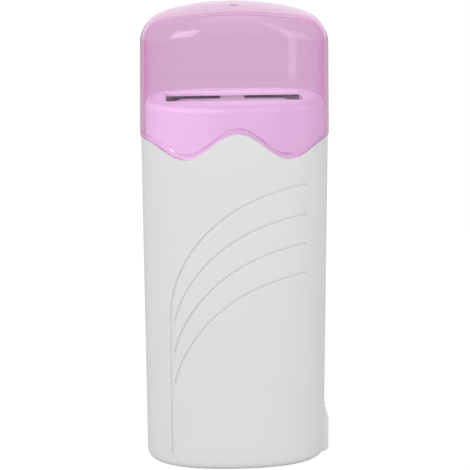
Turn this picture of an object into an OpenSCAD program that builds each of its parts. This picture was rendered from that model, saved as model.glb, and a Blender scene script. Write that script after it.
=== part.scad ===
// Warmer for one roll-on wax cartridge: a two-piece moulded body, a slotted neck over a heated
// chamber, and a see-through cap whose wavy rim sits on the body's wavy shoulder.
// Millimetres. Z is up and the base stands on Z = 0. The front faces -Y. Y = 0 is the body's
// widest line, where its front and rear shells meet.

/* [Body] */
// Height of the body at its sides
body_h = 131.2; // [124:0.2:160]
// Distance from the ends of the slot to the body's sides
side_room = 9.8; // [9.4:0.1:16]
// How much each side narrows towards the base
side_taper = 0.7; // [0:0.1:1.5]
// Reach of the curved front ahead of the widest line
front_depth = 23; // [22:0.5:32]
// How much less the front reaches at the base
front_draft = 1; // [0:0.1:2]
// Gap between the heater's bracket and the flatter back's wall
rear_room = 1.6; // [1.2:0.1:9]
// How much less the back reaches at the base
rear_draft = 0.4; // [0:0.1:1.2]
// Fullness of the front's outline, where 2 is an ellipse
front_fullness = 2.35; // [2.2:0.05:3]
// Fullness of the back's outline, where 2 is an ellipse
rear_fullness = 3.35; // [3:0.05:4.5]
// Rounding between the side walls and the base
base_round = 3; // [1.5:0.5:5]

/* [Shoulder wave] */
// Rise of the wave's crest above the sides
crest_rise = 4.3; // [2:0.1:6]
// Fall of the wave's two troughs below the sides
trough_fall = 6; // [3:0.1:8]
// Distance of each trough from the body's side
trough_side = 15.7; // [10:0.1:20]

/* [Shells] */
// Wall of both shells
shell_wall = 2.4; // [2:0.1:3]
// Wall of both shells above the rib that holds the neck
rim_wall = 1.2; // [1:0.1:1.7]
// Thickness of the base
floor_t = 2.5; // [2:0.1:4]
// Height of the rib that holds the neck
catch_rib_h = 2.5; // [1.5:0.1:4]
// Height of the groove under that rib
catch_groove_h = 2.4; // [1.6:0.1:4]
// Drop from the troughs to the top of that rib
catch_drop = 8.2; // [5:0.1:12]
// Thickness of the ribs under the chamber
rib_t = 1.8; // [1.2:0.1:3]
// Distance of the ribs from the middle
rib_x = 10; // [7:0.5:11]
// Distance of the front ribs' tops below the neck's foot
rib_drop = 8.1; // [2:0.1:40]

/* [Front grooves] */
// Number of arched grooves
groove_count = 4; // [1:1:5]
// Width of each groove
groove_w = 1.3; // [0.8:0.1:2]
// Depth of each groove
groove_depth = 0.55; // [0.2:0.05:1]
// Distance of the upright groove from the body's side
groove_stem_side = 10.5; // [9.5:0.1:16]
// Foot of the upright groove
groove_foot_z = 6.2; // [5:0.1:20]
// Distance of the arches' ends from the body's other side
groove_end_side = 10.2; // [9.5:0.1:20]
// Distance of the arches' highest point beyond their ends
groove_beyond = 4; // [1:0.5:12]
// Drop from the troughs to the first arch's highest point
groove_drop = 10.8; // [7:0.1:25]
// Distance between one arch and the next
groove_pitch = 11.7; // [8:0.1:14]
// Rise of the first arch from the upright groove
groove_rise = 52.4; // [40:0.2:60]
// Added rise of each lower arch
groove_rise_step = 1.1; // [0:0.1:2]

/* [Neck] */
// Rise of the neck above the shoulder at the body's sides
neck_rise = 14.1; // [10:0.1:20]
// Gap between the neck and the shells' rim
neck_gap = 0.25; // [0.15:0.05:0.4]
// Wall of the neck
neck_wall = 1.4; // [1.2:0.1:2]
// Rounding of the neck's top edge
neck_round = 2.2; // [1:0.1:3]
// Thickness of the neck's top
deck_t = 1.6; // [1.4:0.1:3]
// Width of the slot for the cartridge
slot_w = 52.8; // [50:0.2:60]
// Depth of the slot from front to back
slot_d = 19.3; // [17:0.1:24]
// Place of the slot's front edge
slot_front = -5; // [-7:0.1:-4.8]
// Corner radius of the slot
slot_r = 1.2; // [0.6:0.1:3]

/* [Cap] */
// Height of the cap's crown above the neck
cap_room = 36; // [25:0.5:50]
// Wall of the cap
cap_wall = 1.15; // [1:0.05:1.35]
// How far the cap stands proud of the body
cap_proud = 0.4; // [0.2:0.05:0.8]
// How much the cap narrows on each side towards its top
cap_draft = 0.6; // [0.2:0.1:1.5]
// Rounding around the cap's top
cap_round = 8; // [4:0.5:12]
// Radius of the top's arch from side to side
cap_arch_r = 105; // [90:5:300]
// Radius of the top's crown from front to back
cap_crown_r = 250; // [150:10:600]
// Height of the thicker band along the cap's rim
cap_band_h = 1.5; // [1:0.1:3]
// Diameter of the flat feed mark on the crown
cap_mark_d = 5; // [3:0.5:8]
// Height of that feed mark
cap_mark_h = 0.35; // [0.2:0.05:0.6]

/* [Chamber] */
// Room under the chamber's frame for the wires and the inlet
base_room = 28; // [27:0.5:40]
// Wall of the chamber frame
chamber_wall = 1.2; // [1:0.1:1.4]
// Floor of the chamber frame
chamber_floor_t = 2; // [1.5:0.1:3]
// Distance from the chamber's sides to the heat plate's sides
plate_side = 3.6; // [2.8:0.1:5]
// Thickness of the heat plate
plate_t = 1.4; // [1:0.1:1.6]
// Distance of the plate's top edge below the neck's top
plate_drop = 3.1; // [2.4:0.1:6]
// Width of the locating tab on the plate's top edge
plate_tab_w = 9.6; // [5:0.2:14]
// Width of each sloping corner of the plate
plate_corner_w = 2.8; // [1:0.1:5]
// Height of each sloping corner of the plate
plate_corner_h = 1.1; // [0.5:0.1:4]
// Width of each lug that carries the frame
lug_w = 7; // [6:0.2:9]
// Distance of the lugs from the middle
lug_x = 19; // [14:0.5:20]

/* [Heater] */
// Width of the heating element
heater_w = 21; // [18:0.5:22]
// Length of the heating element
heater_l = 60; // [40:1:70]
// Thickness of the heating element
heater_t = 3.4; // [2.5:0.1:3.6]
// Distance of the heating element above the chamber's floor
heater_up = 30; // [26:0.5:36]
// Thickness of each insulating sheet
sheet_t = 0.4; // [0.2:0.05:0.45]
// Thickness of the clamping bracket
bracket_t = 0.8; // [0.6:0.1:1]
// Length of the clamping bracket
bracket_l = 44; // [26:1:50]
// Diameter of the thermal fuse
fuse_d = 3.6; // [3:0.1:3.8]
// Length of the thermal fuse's case
fuse_l = 11.5; // [9:0.5:13]
// Distance of the thermal fuse above the chamber's floor
fuse_up = 6; // [5:0.5:8]
// Diameter of the wires' insulation
wire_d = 1.6; // [1.2:0.1:1.8]

/* [Power inlet] */
// Height of the inlet's centre
inlet_z = 12; // [11.6:0.1:13]
// Spacing of the two contact pins
pin_pitch = 8; // [7:0.1:8.6]
// Diameter of the contact pins
pin_d = 2.4; // [2:0.1:2.6]
// Length of the opening that takes the plug
socket_h = 14.8; // [13:0.1:15]
// Width of the opening that takes the plug
socket_w = 8; // [7:0.1:8.6]
// Depth of the opening that takes the plug
socket_depth = 10; // [8:0.5:11]
// Wall around that opening
socket_wall = 1.3; // [1:0.1:1.6]
// Width of the raised pad around the inlet
pad_w = 16; // [14.6:0.2:18]
// Height of the raised pad around the inlet
pad_h = 19.6; // [19:0.2:20]
// How far the pad stands out from the body's widest line
pad_proud = 1.35; // [0.8:0.05:2]

/* [Indicator] */
// Height of the indicator lens
lens_z = 16; // [12:0.5:20]
// Diameter of the lens's head
lens_d = 6.6; // [6.2:0.1:8]
// Diameter of the lens's stem
lens_stem_d = 5.4; // [5:0.1:5.6]
// How far the lens's head stands out
lens_head_h = 1.2; // [0.8:0.1:2]
// Diameter of the lamp inside
lamp_d = 4; // [3:0.1:4]

/* [Screws] */
// Diameter of the case screws
screw_d = 2.6; // [2.2:0.1:2.7]
// Head diameter of the case screws
screw_head_d = 4.6; // [4.2:0.1:4.7]
// Head height of the case screws
screw_head_h = 1.6; // [1.2:0.1:2]
// Length of the case screws under the head
screw_l = 12.6; // [11:0.2:13]
// Outer diameter of the screw bosses
boss_d = 6.8; // [6.4:0.1:6.9]
// Length of the rear bosses under the screws' heads
rear_boss_l = 5; // [3:0.2:6]
// Distance of the upper case screws below the neck's foot
upper_screw_drop = 8.1; // [5:0.1:30]

/* [Fits] */
// Gap between pieces that slide or drop into each other
fit = 0.1; // [0.05:0.05:0.15]
// Gap between the cap and what it sits on or passes
cap_gap = 0.3; // [0.2:0.05:0.4]

/* [Hidden] */
$fn = 48;

// Points around each outline, an even number so that two of them lie on the parting line
steps = 72;
// Overlap that makes two shapes of one piece merge
eps = 0.5;

// Sizes of the body and the chamber that follow from the driving sizes
body_w = slot_w + 2 * side_room;
base_w = body_w - 2 * side_taper;
frame_z = base_room;
chamber_z = frame_z + chamber_floor_t;
shoulder_z = body_h;
neck_top = shoulder_z + neck_rise;
deck_under = neck_top - deck_t;
crown_z = neck_top + cap_room;
catch_top = shoulder_z - trough_fall - catch_drop;
catch_low = catch_top - catch_rib_h;
catch_base = catch_low - catch_groove_h;
catch_step = 0.2;
rib_top = catch_base - rib_drop;
space_top = shoulder_z + crest_rise + eps;
plate_top = neck_top - plate_drop;
lower_screw_z = inlet_z + pad_h / 2 + screw_d;
upper_screw_z = catch_base - upper_screw_drop;
neck_inset = rim_wall + neck_gap;
trough_x = body_w / 2 - trough_side;
groove_stem_x = -(body_w / 2 - groove_stem_side);
groove_end_x = body_w / 2 - groove_end_side;
groove_apex_x = groove_end_x + groove_beyond;
groove_top_z = shoulder_z - trough_fall - groove_drop;

// The chamber, from the slot's four edges
chamber_gap = 0.2;
chamber_x = slot_w / 2 + chamber_gap;
chamber_front = slot_front - chamber_gap;
chamber_back = slot_front + slot_d + chamber_gap;
frame_x = chamber_x + chamber_wall;
screw_x = frame_x + cap_gap + boss_d / 2;
frame_front = chamber_front - chamber_wall;
cheek_t = 1;
plate_w = 2 * (chamber_x - plate_side);
plate_front = chamber_back + cheek_t + fit;
plate_back = plate_front + plate_t;
groove_x = plate_w / 2 + 2 * fit;
cheek_w = 1.4;
cheek_x = groove_x - cheek_w;
frame_back = plate_back + fit + cheek_t;
lug_y = frame_front - lug_w / 2;
lug_t = 2;
lug_post = 5.7;
lug_z = deck_under - lug_post - lug_t;

// The heater stack behind the plate
heater_z = chamber_z + heater_up;
sheet_over = 0.5;
sheet_w = heater_w + 2 * sheet_over;
heater_y = plate_back + sheet_t;
bracket_y = heater_y + heater_t + sheet_t;
bracket_gap = 0.5;
bracket_in = sheet_w / 2 + bracket_gap;
bracket_back = bracket_y + bracket_t;
m3_d = 3;
m3_head_d = 5.2;
m3_head_h = 1.5;
m3_margin = 0.5;
bracket_foot = m3_head_d + 2 * m3_margin;
bracket_screw_x = bracket_in + bracket_t + bracket_foot / 2;
bracket_mid = heater_z + heater_l / 2;
bracket_end = 6;
bracket_screw_dz = bracket_l / 2 - bracket_end;
tab_edge = 1.3;
tab_pitch = 5;
tab_x = [-heater_w / 2 + tab_edge, -heater_w / 2 + tab_edge + tab_pitch];
tab_w = 1.8;
tab_t = 0.5;
tab_l = 6;
tab_y = heater_y + heater_t / 2;
crimp_d = 3.2;
crimp_l = 8;
crimp_gap = 1;
crimp_z = heater_z - crimp_gap - crimp_l;
crimp_hole = 3.5;
wire_end_z = crimp_z + 2.5;

// The fuse in its sleeve, under a clip
fuse_z = chamber_z + fuse_up;
sleeve_wall = 0.4;
sleeve_over = 3.75;
sleeve_d = fuse_d + 2 * fit + 2 * sleeve_wall;
sleeve_l = fuse_l + 2 * sleeve_over;
fuse_gap = 3.2;
fuse_x = tab_x[1] + fuse_gap + sleeve_l / 2;
fuse_y = plate_back + sleeve_d / 2 + fit;
fuse_lead_d = 1;
clip_t = 0.6;
clip_l = 6;
clip_inside = sleeve_d / 2 + fit;
clip_outside = clip_inside + clip_t;
clip_screw_z = fuse_z + clip_outside + m3_head_d / 2 + 2 * fit;

// The back of the body, behind the bracket
rear_depth = bracket_back + rear_room + shell_wall;

// Length of the case and frame screws' points
screw_point = 0.8;

// Bend radius of the wires, and the height at which they pass between the base's ribs
wire_bend = 2.4;
wire_low = floor_t + 2 * wire_bend + wire_d / 2;

// The inlet, seen from the side that takes the plug
pad_x = base_w / 2 + pad_proud;
inlet_sunk = 1.25;
inlet_face = pad_x - inlet_sunk;
inlet_w = socket_w + 2 * socket_wall;
inlet_h = socket_h + 2 * socket_wall;
inlet_back_t = 3;
inlet_back = inlet_face - socket_depth - inlet_back_t;
flange_gap = 2.6;
flange_x = base_w / 2 - shell_wall - flange_gap;
flange_t = 1.3;
flange_over = 1.2;
flange_end = 2.5;
socket_waist = 0.8;
pin_short = 2.2;
pin_shank_d = pin_d - 0.4;
pin_neck = 0.3;
pin_tail = 0.5;
tail_l = 4;
tail_w = 3;
tail_t = 0.6;

// The lamp and its lens
lens_y = rear_reach(lens_z);
lens_hole = lens_stem_d + 2 * fit;
lens_face_t = 0.8;
lens_stem_in = 5;
lens_stem_l = shell_wall + lens_stem_in;
lamp_y = lens_y - lens_face_t - 2 * fit;
lamp_l = 9;
lamp_lead_x = 0.9;
lamp_lead_d = 0.5;
lamp_lead_l = 2.5;
lamp_lead_y = lamp_y - lamp_l - lamp_lead_l;
resistor_d = 2;
resistor_l = 5;
resistor_x = -lamp_lead_x - 0.3;
lamp_wire_d = 1.1;
ring_t = 0.6;

// ---- Outlines -------------------------------------------------------------------------------

// Half width, front reach and rear reach of the body at a height
function half_width(z) = base_w / 2 + (body_w - base_w) / 2 * z / shoulder_z;
function front_reach(z) = front_depth - front_draft * (1 - z / shoulder_z);
function rear_reach(z) = rear_depth - rear_draft * (1 - z / shoulder_z);

// A point of the outline at an angle: a superellipse that is flatter behind than in front
function outline(a, half_w, front, rear) =
    let (
        power = sin(a) < 0 ? front_fullness : rear_fullness,
        reach = sin(a) < 0 ? front : rear,
        r = pow(pow(abs(cos(a)) / half_w, power) + pow(abs(sin(a)) / reach, power), -1 / power)
    )
    [r * cos(a), r * sin(a)];

function body_point(a, inset, z) =
    outline(a, half_width(z) - inset, front_reach(z) - inset, rear_reach(z) - inset);

// Height of the shoulder above a place across the width: a crest between two troughs
function wave(x) =
    let (low = shoulder_z - trough_fall, crest = shoulder_z + crest_rise, d = abs(x))
    d < trough_x
        ? (crest + low) / 2 + (crest - low) / 2 * cos(180 * d / trough_x)
        : low + trough_fall * (1 - cos(180 * (d - trough_x) / (body_w / 2 - trough_x))) / 2;

function ring_angles() = [for (i = [0 : steps - 1]) 360 * i / steps];

// A level ring of the body, moved in from its outside
function body_ring(inset, z) =
    [for (a = ring_angles()) let (p = body_point(a, inset, z)) [p.x, p.y, z]];

// A ring of the neck, whose sides run straight up
function neck_ring(inset, z) =
    [for (a = ring_angles()) let (p = body_point(a, inset, shoulder_z)) [p.x, p.y, z]];

// A ring that follows the shoulder wave, moved in and up from it
function wave_ring(inset, up) =
    [
        for (a = ring_angles())
            let (z = wave(body_point(a, 0, shoulder_z).x), p = body_point(a, inset, z))
            [p.x, p.y, z + up]
    ];

// The cap's outline at a height, which narrows towards the top
function cap_point(a, inset, z) =
    let (lean = cap_draft * (z - shoulder_z) / (crown_z - shoulder_z))
    body_point(a, inset + lean - cap_proud, shoulder_z);

function cap_rim_ring(inset, up) =
    [
        for (a = ring_angles())
            let (z = wave(body_point(a, 0, shoulder_z).x) + cap_gap + up, p = cap_point(a, inset, z))
            [p.x, p.y, z]
    ];

// A ring of the cap's arched top, moved in from its side and down from its surface
function cap_top_ring(inset, down) =
    [
        for (a = ring_angles())
            let (
                p = cap_point(a, inset, crown_z - cap_round),
                fall = p.x * p.x / (2 * cap_arch_r) + p.y * p.y / (2 * cap_crown_r)
            )
            [p.x, p.y, crown_z - fall - down]
    ];

function round_ring(r, z) = [for (a = ring_angles()) [r * cos(a), r * sin(a), z]];

// The cap's rounded edge and top under a skin of the given thickness
function cap_dome(skin) =
    let (r = cap_round - skin, middle = front_depth - 1.5)
    [
        for (t = [0 : 18 : 90]) cap_top_ring(skin + r * (1 - cos(t)), skin + r * (1 - sin(t))),
        for (k = [1 : 3]) cap_top_ring(cap_round + (middle - cap_round) * k / 3, skin)
    ];

// ---- Tools of construction ------------------------------------------------------------------

// A solid through level or wavy rings, closed below and above by fans to the middle
module loft(rings, low, high) {
    n = len(rings[0]);
    last = len(rings) - 1;
    points = concat([for (ring = rings) each ring], [[0, 0, low], [0, 0, high]]);
    sides = [
        for (k = [0 : last - 1], i = [0 : n - 1])
            let (
                j = (i + 1) % n, a = k * n + i, b = (k + 1) * n + i,
                c = (k + 1) * n + j, d = k * n + j
            )
            each [[a, b, c], [a, c, d]]
    ];
    ends = [
        for (i = [0 : n - 1])
            let (j = (i + 1) % n)
            each [[(last + 1) * n, i, j], [(last + 1) * n + 1, last * n + j, last * n + i]]
    ];
    polyhedron(points, concat(sides, ends));
}

// A rectangle from its left, front, right and rear sides
module plan_box(left, front, right, back, low, high) {
    translate([left, front, low])
        cube([right - left, back - front, high - low]);
}

module mirrored() {
    children();
    mirror([1, 0, 0])
        children();
}

// A cylinder along Y from one depth to another
module rod_y(d, from, to) {
    translate([0, from, 0])
        rotate([-90, 0, 0])
            cylinder(d = d, h = to - from);
}

// A cylinder along X from one place to another
module rod_x(d, from, to) {
    translate([from, 0, 0])
        rotate([0, 90, 0])
            cylinder(d = d, h = to - from);
}

// A rectangle with round corners, centred
module round_rect(w, h, r) {
    square([w - 2 * r, h], center = true);
    square([w, h - 2 * r], center = true);
    for (x = [-1, 1], y = [-1, 1])
        translate([x * (w / 2 - r), y * (h / 2 - r)])
            circle(r);
}

function unit(v) = v / norm(v);

// A smooth curve through points set by hand, with some steps between each two
function curve(points, parts = 4) =
    let (last = len(points) - 1)
    [
        for (k = [0 : last - 1], s = [0 : parts - 1])
            let (
                t = s / parts,
                a = k == 0 ? 2 * points[0] - points[1] : points[k - 1],
                b = points[k], c = points[k + 1],
                d = k + 1 == last ? 2 * points[last] - points[last - 1] : points[k + 2]
            )
            (
                2 * b + (c - a) * t + (2 * a - 5 * b + 4 * c - d) * t * t
                + (3 * b - a - 3 * c + d) * t * t * t
            ) / 2,
        points[last]
    ];

function tangents(path) =
    let (last = len(path) - 1)
    [for (i = [0 : last]) unit(path[min(i + 1, last)] - path[max(i - 1, 0)])];

// Side directions carried along a curve without twisting
function carried(along, i = 0, side = [0.3, 0.2, 0.9]) =
    i == len(along)
        ? []
        : let (s = unit(side - (side * along[i]) * along[i])) concat([s], carried(along, i + 1, s));

// A wire along a route
module wire(route, d) {
    path = curve(route);
    sides = 8;
    along = tangents(path);
    across = carried(along);
    last = len(path) - 1;
    points = [
        for (i = [0 : last], k = [0 : sides - 1])
            path[i] + d / 2 * (
                cos(360 * k / sides) * across[i] + sin(360 * k / sides) * cross(along[i], across[i])
            )
    ];
    walls = [
        for (i = [0 : last - 1], k = [0 : sides - 1])
            let (j = (k + 1) % sides, a = i * sides + k, d = i * sides + j)
            each [[a, a + sides, d + sides], [a, d + sides, d]]
    ];
    ends = [
        for (k = [1 : sides - 2])
            each [[0, k, k + 1], [last * sides, last * sides + k + 1, last * sides + k]]
    ];
    polyhedron(points, concat(walls, ends));
}

// ---- Shells, neck and cap -------------------------------------------------------------------

// The whole body as one solid, from its base to the shoulder wave
module body_form() {
    rings = [
        for (t = [0 : 22.5 : 90]) body_ring(base_round * (1 - sin(t)), base_round * (1 - cos(t))),
        body_ring(0, catch_base),
        wave_ring(0, 0),
        wave_ring(rim_wall + eps, 0)
    ];
    loft(rings, 0, shoulder_z);
}

// The space inside both shells, with the groove and rib that hold the neck
module body_space() {
    loft(
        [
            body_ring(shell_wall, floor_t),
            body_ring(shell_wall, catch_base),
            body_ring(rim_wall, catch_base + catch_step),
            body_ring(rim_wall, catch_low),
            body_ring(shell_wall, catch_low + catch_step),
            body_ring(shell_wall, catch_top),
            body_ring(rim_wall, catch_top + catch_step),
            body_ring(rim_wall, space_top)
        ],
        floor_t,
        space_top
    );
}

// Everything inside the body's outline, moved in from it
module body_core(inset) {
    loft(
        [body_ring(inset, inset), body_ring(inset, shoulder_z - trough_fall)],
        inset,
        shoulder_z - trough_fall
    );
}

// Outline of the raised pad seen from the front, with a long ramp above and rounding below
module pad_outline() {
    low = inlet_z - pad_h / 2;
    high = inlet_z + pad_h / 2;
    wall_x = base_w / 2 - shell_wall + 0.4;
    polygon([
        [wall_x, low], [pad_x - 1.6, low], [pad_x - 0.5, low + 0.5], [pad_x, low + 1.8],
        [pad_x, high - 5.6], [pad_x - 0.35, high - 3], [pad_x - 1.4, high], [wall_x, high]
    ]);
}

// The pad around the inlet, as an outline drawn through the body from front to back
module inlet_pad() {
    rotate([90, 0, 0])
        linear_extrude(pad_w, center = true)
            pad_outline();
}

// Bosses for the four case screws, which run from the parting line into the walls
module screw_bosses(from, to) {
    intersection() {
        mirrored()
            for (z = [lower_screw_z, upper_screw_z])
                translate([screw_x, 0, z])
                    rod_y(boss_d, from, to, $fn = 32);
        body_core(0.4);
    }
}

// Ribs that carry the chamber frame, drawn from the side
module frame_ribs(side) {
    intersection() {
        mirrored()
            translate([rib_x - rib_t / 2, 0, 0])
                rotate([90, 0, 90])
                    linear_extrude(rib_t)
                        polygon(side);
        body_core(shell_wall / 2);
    }
}

// Line of one arched groove: a quarter of an ellipse that starts upright and ends nearly level
function groove_line(k, out) =
    let (
        rise = groove_rise + k * groove_rise_step,
        top = groove_top_z - k * groove_pitch,
        end = acos((groove_apex_x - groove_end_x) / (groove_apex_x - groove_stem_x))
    )
    [
        for (t = [0 : 1 / 18 : 1.001])
            let (
                a = end * t, wide = groove_apex_x - groove_stem_x,
                n = unit([-cos(a) * rise, sin(a) * wide])
            )
            [groove_apex_x - wide * cos(a), top - rise + rise * sin(a)] + out * n
    ];

// All grooves as seen from the front
module groove_drawing() {
    half = groove_w / 2;
    for (k = [0 : groove_count - 1]) {
        right = groove_line(k, -half);
        left = groove_line(k, half);
        polygon(concat(left, [for (i = [len(right) - 1 : -1 : 0]) right[i]]));
        translate((left[len(left) - 1] + right[len(right) - 1]) / 2)
            circle(half, $fn = 16);
    }
    stem_top = groove_top_z - groove_rise;
    translate([groove_stem_x - half, groove_foot_z])
        square([groove_w, stem_top - groove_foot_z]);
    translate([groove_stem_x, groove_foot_z])
        circle(half, $fn = 16);
}

// The grooves, cut to an even depth into the curved front
module front_grooves() {
    difference() {
        rotate([90, 0, 0])
            linear_extrude(front_depth + 1)
                groove_drawing();
        body_core(groove_depth);
    }
}

// A wall behind the inlet's flange, which keeps it in its opening
module inlet_stop() {
    intersection() {
        plan_box(
            flange_x - fit - rib_t, -front_depth, flange_x - fit, rear_depth,
            floor_t - eps, inlet_z + inlet_h / 2
        );
        body_core(shell_wall / 2);
    }
}

// A solid with the inlet's rounded outline, from one place to another, larger by a margin
module inlet_form(from, to, margin = 0) {
    translate([from, 0, inlet_z])
        rotate([90, 0, 90])
            linear_extrude(to - from)
                round_rect(inlet_w + 2 * margin, inlet_h + 2 * margin, inlet_w / 3);
}

// Both shells before they are parted, with the bosses and ribs of one side
module shell_form(boss_from, boss_to, rib_side) {
    difference() {
        union() {
            body_form();
            inlet_pad();
        }
        body_space();
    }
    inlet_stop();
    screw_bosses(boss_from, boss_to);
    frame_ribs(rib_side);
}

// Everything on one side of the parting line: the front for -1, the rear for 1
module half_of(side) {
    intersection() {
        children();
        translate([-body_w, side < 0 ? -body_w : 0, -1])
            cube([2 * body_w, body_w, crown_z]);
    }
}

module front_shell() {
    color("gainsboro")
        difference() {
            half_of(-1)
                shell_form(
                    -front_depth, 0,
                    [
                        [-front_depth, floor_t - eps], [-2, floor_t - eps], [-2, frame_z],
                        [frame_front - fit, frame_z], [frame_front - fit, rib_top],
                        [-front_depth, rib_top]
                    ]
                );
            front_grooves();
            mirrored()
                for (z = [lower_screw_z, upper_screw_z])
                    translate([screw_x, 0, z])
                        rod_y(screw_d + fit, rear_boss_l - screw_l - 1, 1);
            inlet_form(flange_x - 2 * rib_t, pad_x + 1, fit);
        }
}

module rear_shell() {
    color("gainsboro")
        difference() {
            half_of(1)
                shell_form(
                    0, rear_depth,
                    [
                        [2, floor_t - eps], [rear_depth, floor_t - eps],
                        [rear_depth, frame_z], [2, frame_z]
                    ]
                );
            mirrored()
                for (z = [lower_screw_z, upper_screw_z])
                    translate([screw_x, 0, z]) {
                        rod_y(screw_d + 4 * fit, -1, rear_depth);
                        rod_y(screw_head_d + 4 * fit, rear_boss_l, rear_depth + 1);
                    }
            translate([0, 0, lens_z])
                rod_y(lens_hole, rear_depth / 2, rear_depth + 1);
            inlet_form(flange_x - 2 * rib_t, pad_x + 1, fit);
        }
}

// The neck: a cup turned over, whose foot is held by the shells' rib
module neck_collar() {
    foot = catch_base + catch_step + fit;
    waist = shell_wall + neck_gap;
    inner = neck_inset + neck_wall;
    color("gainsboro")
        difference() {
            union() {
                difference() {
                    loft(
                        [
                            body_ring(neck_inset, foot),
                            body_ring(neck_inset, catch_low - fit),
                            body_ring(waist, catch_low + catch_step - fit),
                            body_ring(waist, catch_top + fit),
                            body_ring(neck_inset, catch_top + catch_step + fit),
                            for (t = [0 : 22.5 : 90])
                                neck_ring(
                                    neck_inset + neck_round * (1 - cos(t)),
                                    neck_top - neck_round * (1 - sin(t))
                                )
                        ],
                        foot,
                        neck_top
                    );
                    loft(
                        [
                            body_ring(waist + neck_wall, foot - 1),
                            body_ring(waist + neck_wall, catch_top + 1),
                            body_ring(inner, catch_top + 2),
                            neck_ring(inner, deck_under)
                        ],
                        foot - 1,
                        deck_under
                    );
                }
                mirrored()
                    translate([lug_x, lug_y, lug_z + lug_t])
                        cylinder(d = lug_w - 1, h = deck_under + eps - lug_z - lug_t);
            }
            translate([0, slot_front + slot_d / 2, deck_under - 1])
                linear_extrude(deck_t + 2)
                    round_rect(slot_w, slot_d, slot_r);
            mirrored()
                translate([lug_x, lug_y, lug_z])
                    cylinder(d = screw_d + fit, h = deck_under - lug_z);
        }
}

// The cap: an arched dome over the neck, with a thicker band along its wavy rim. The rings run
// from the middle of its inside down to the rim and up its outside to the flat feed mark.
module cap() {
    band = neck_inset + cap_proud - cap_wall - cap_gap;
    inside = [
        cap_rim_ring(cap_wall + band, 0),
        cap_rim_ring(cap_wall + band, cap_band_h),
        cap_rim_ring(cap_wall, cap_band_h + band),
        each cap_dome(cap_wall)
    ];
    outside = concat(
        [cap_rim_ring(0, 0)],
        cap_dome(0),
        [round_ring(cap_mark_d / 2, crown_z), round_ring(cap_mark_d / 2, crown_z + cap_mark_h)]
    );
    color([0.86, 0.6, 0.8, 0.5])
        loft(
            concat([for (k = [len(inside) - 1 : -1 : 0]) inside[k]], outside),
            crown_z - cap_wall,
            crown_z + cap_mark_h
        );
}

// ---- Chamber --------------------------------------------------------------------------------

// The frame that takes the cartridge: a floor, three walls and two slides for the heat plate
module chamber_frame() {
    color("whitesmoke")
        difference() {
            union() {
                plan_box(-frame_x, frame_front, frame_x, frame_back, frame_z, chamber_z);
                plan_box(-frame_x, frame_front, frame_x, chamber_front, frame_z, deck_under - fit);
                mirrored() {
                    plan_box(
                        chamber_x, frame_front, frame_x, chamber_back + cheek_t,
                        frame_z, deck_under - fit
                    );
                    plan_box(
                        cheek_x, chamber_back, frame_x, chamber_back + cheek_t,
                        frame_z, plate_top - plate_corner_h
                    );
                    plan_box(
                        cheek_x, plate_back + fit, groove_x + cheek_w, frame_back,
                        frame_z, plate_top - plate_corner_h
                    );
                    plan_box(
                        groove_x, chamber_back, groove_x + cheek_w, frame_back,
                        frame_z, plate_top - plate_corner_h
                    );
                    plan_box(
                        lug_x - lug_w / 2, lug_y, lug_x + lug_w / 2, frame_front + eps,
                        lug_z, lug_z + lug_t
                    );
                    translate([lug_x, lug_y, lug_z])
                        cylinder(d = lug_w, h = lug_t);
                }
            }
            mirrored()
                translate([lug_x, lug_y, lug_z - 1])
                    cylinder(d = screw_d + 4 * fit, h = lug_t + 2);
        }
}

// Outline of the heat plate seen from the front, with sloping corners and a tab above
module plate_outline() {
    side = plate_w / 2;
    tab = plate_tab_w / 2;
    polygon([
        [-side, chamber_z], [side, chamber_z], [side, plate_top - plate_corner_h],
        [side - plate_corner_w, plate_top], [tab, plate_top], [tab, deck_under - fit],
        [-tab, deck_under - fit], [-tab, plate_top], [-side + plate_corner_w, plate_top],
        [-side, plate_top - plate_corner_h]
    ]);
}

// Places of the screws in the heat plate, as across and up
function heater_screw_places() =
    [
        for (x = [-1, 1], z = [-1, 1])
            [x * bracket_screw_x, bracket_mid + z * bracket_screw_dz, bracket_t],
        [fuse_x, clip_screw_z, clip_t]
    ];

module heat_plate() {
    color("silver")
        difference() {
            translate([0, plate_back, 0])
                rotate([90, 0, 0])
                    linear_extrude(plate_t)
                        plate_outline();
            for (p = heater_screw_places())
                translate([p.x, 0, p.y])
                    rod_y(m3_d + fit, plate_front - 1, plate_back + 1);
        }
}

// ---- Heater ---------------------------------------------------------------------------------

// The heating element: a ceramic slab with two tabs at its foot
module ptc_element() {
    color("dimgray")
        union() {
            plan_box(
                -heater_w / 2, heater_y, heater_w / 2, heater_y + heater_t,
                heater_z, heater_z + heater_l
            );
            for (x = tab_x)
                plan_box(
                    x - tab_w / 2, tab_y - tab_t / 2, x + tab_w / 2, tab_y + tab_t / 2,
                    heater_z - tab_l, heater_z + eps
                );
        }
}

// Thin insulating sheets on both faces of the element
module mica_sheets() {
    color("burlywood")
        for (y = [plate_back, heater_y + heater_t])
            plan_box(
                -sheet_w / 2, y, sheet_w / 2, y + sheet_t,
                heater_z - sheet_over, heater_z + heater_l + sheet_over
            );
}

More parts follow.
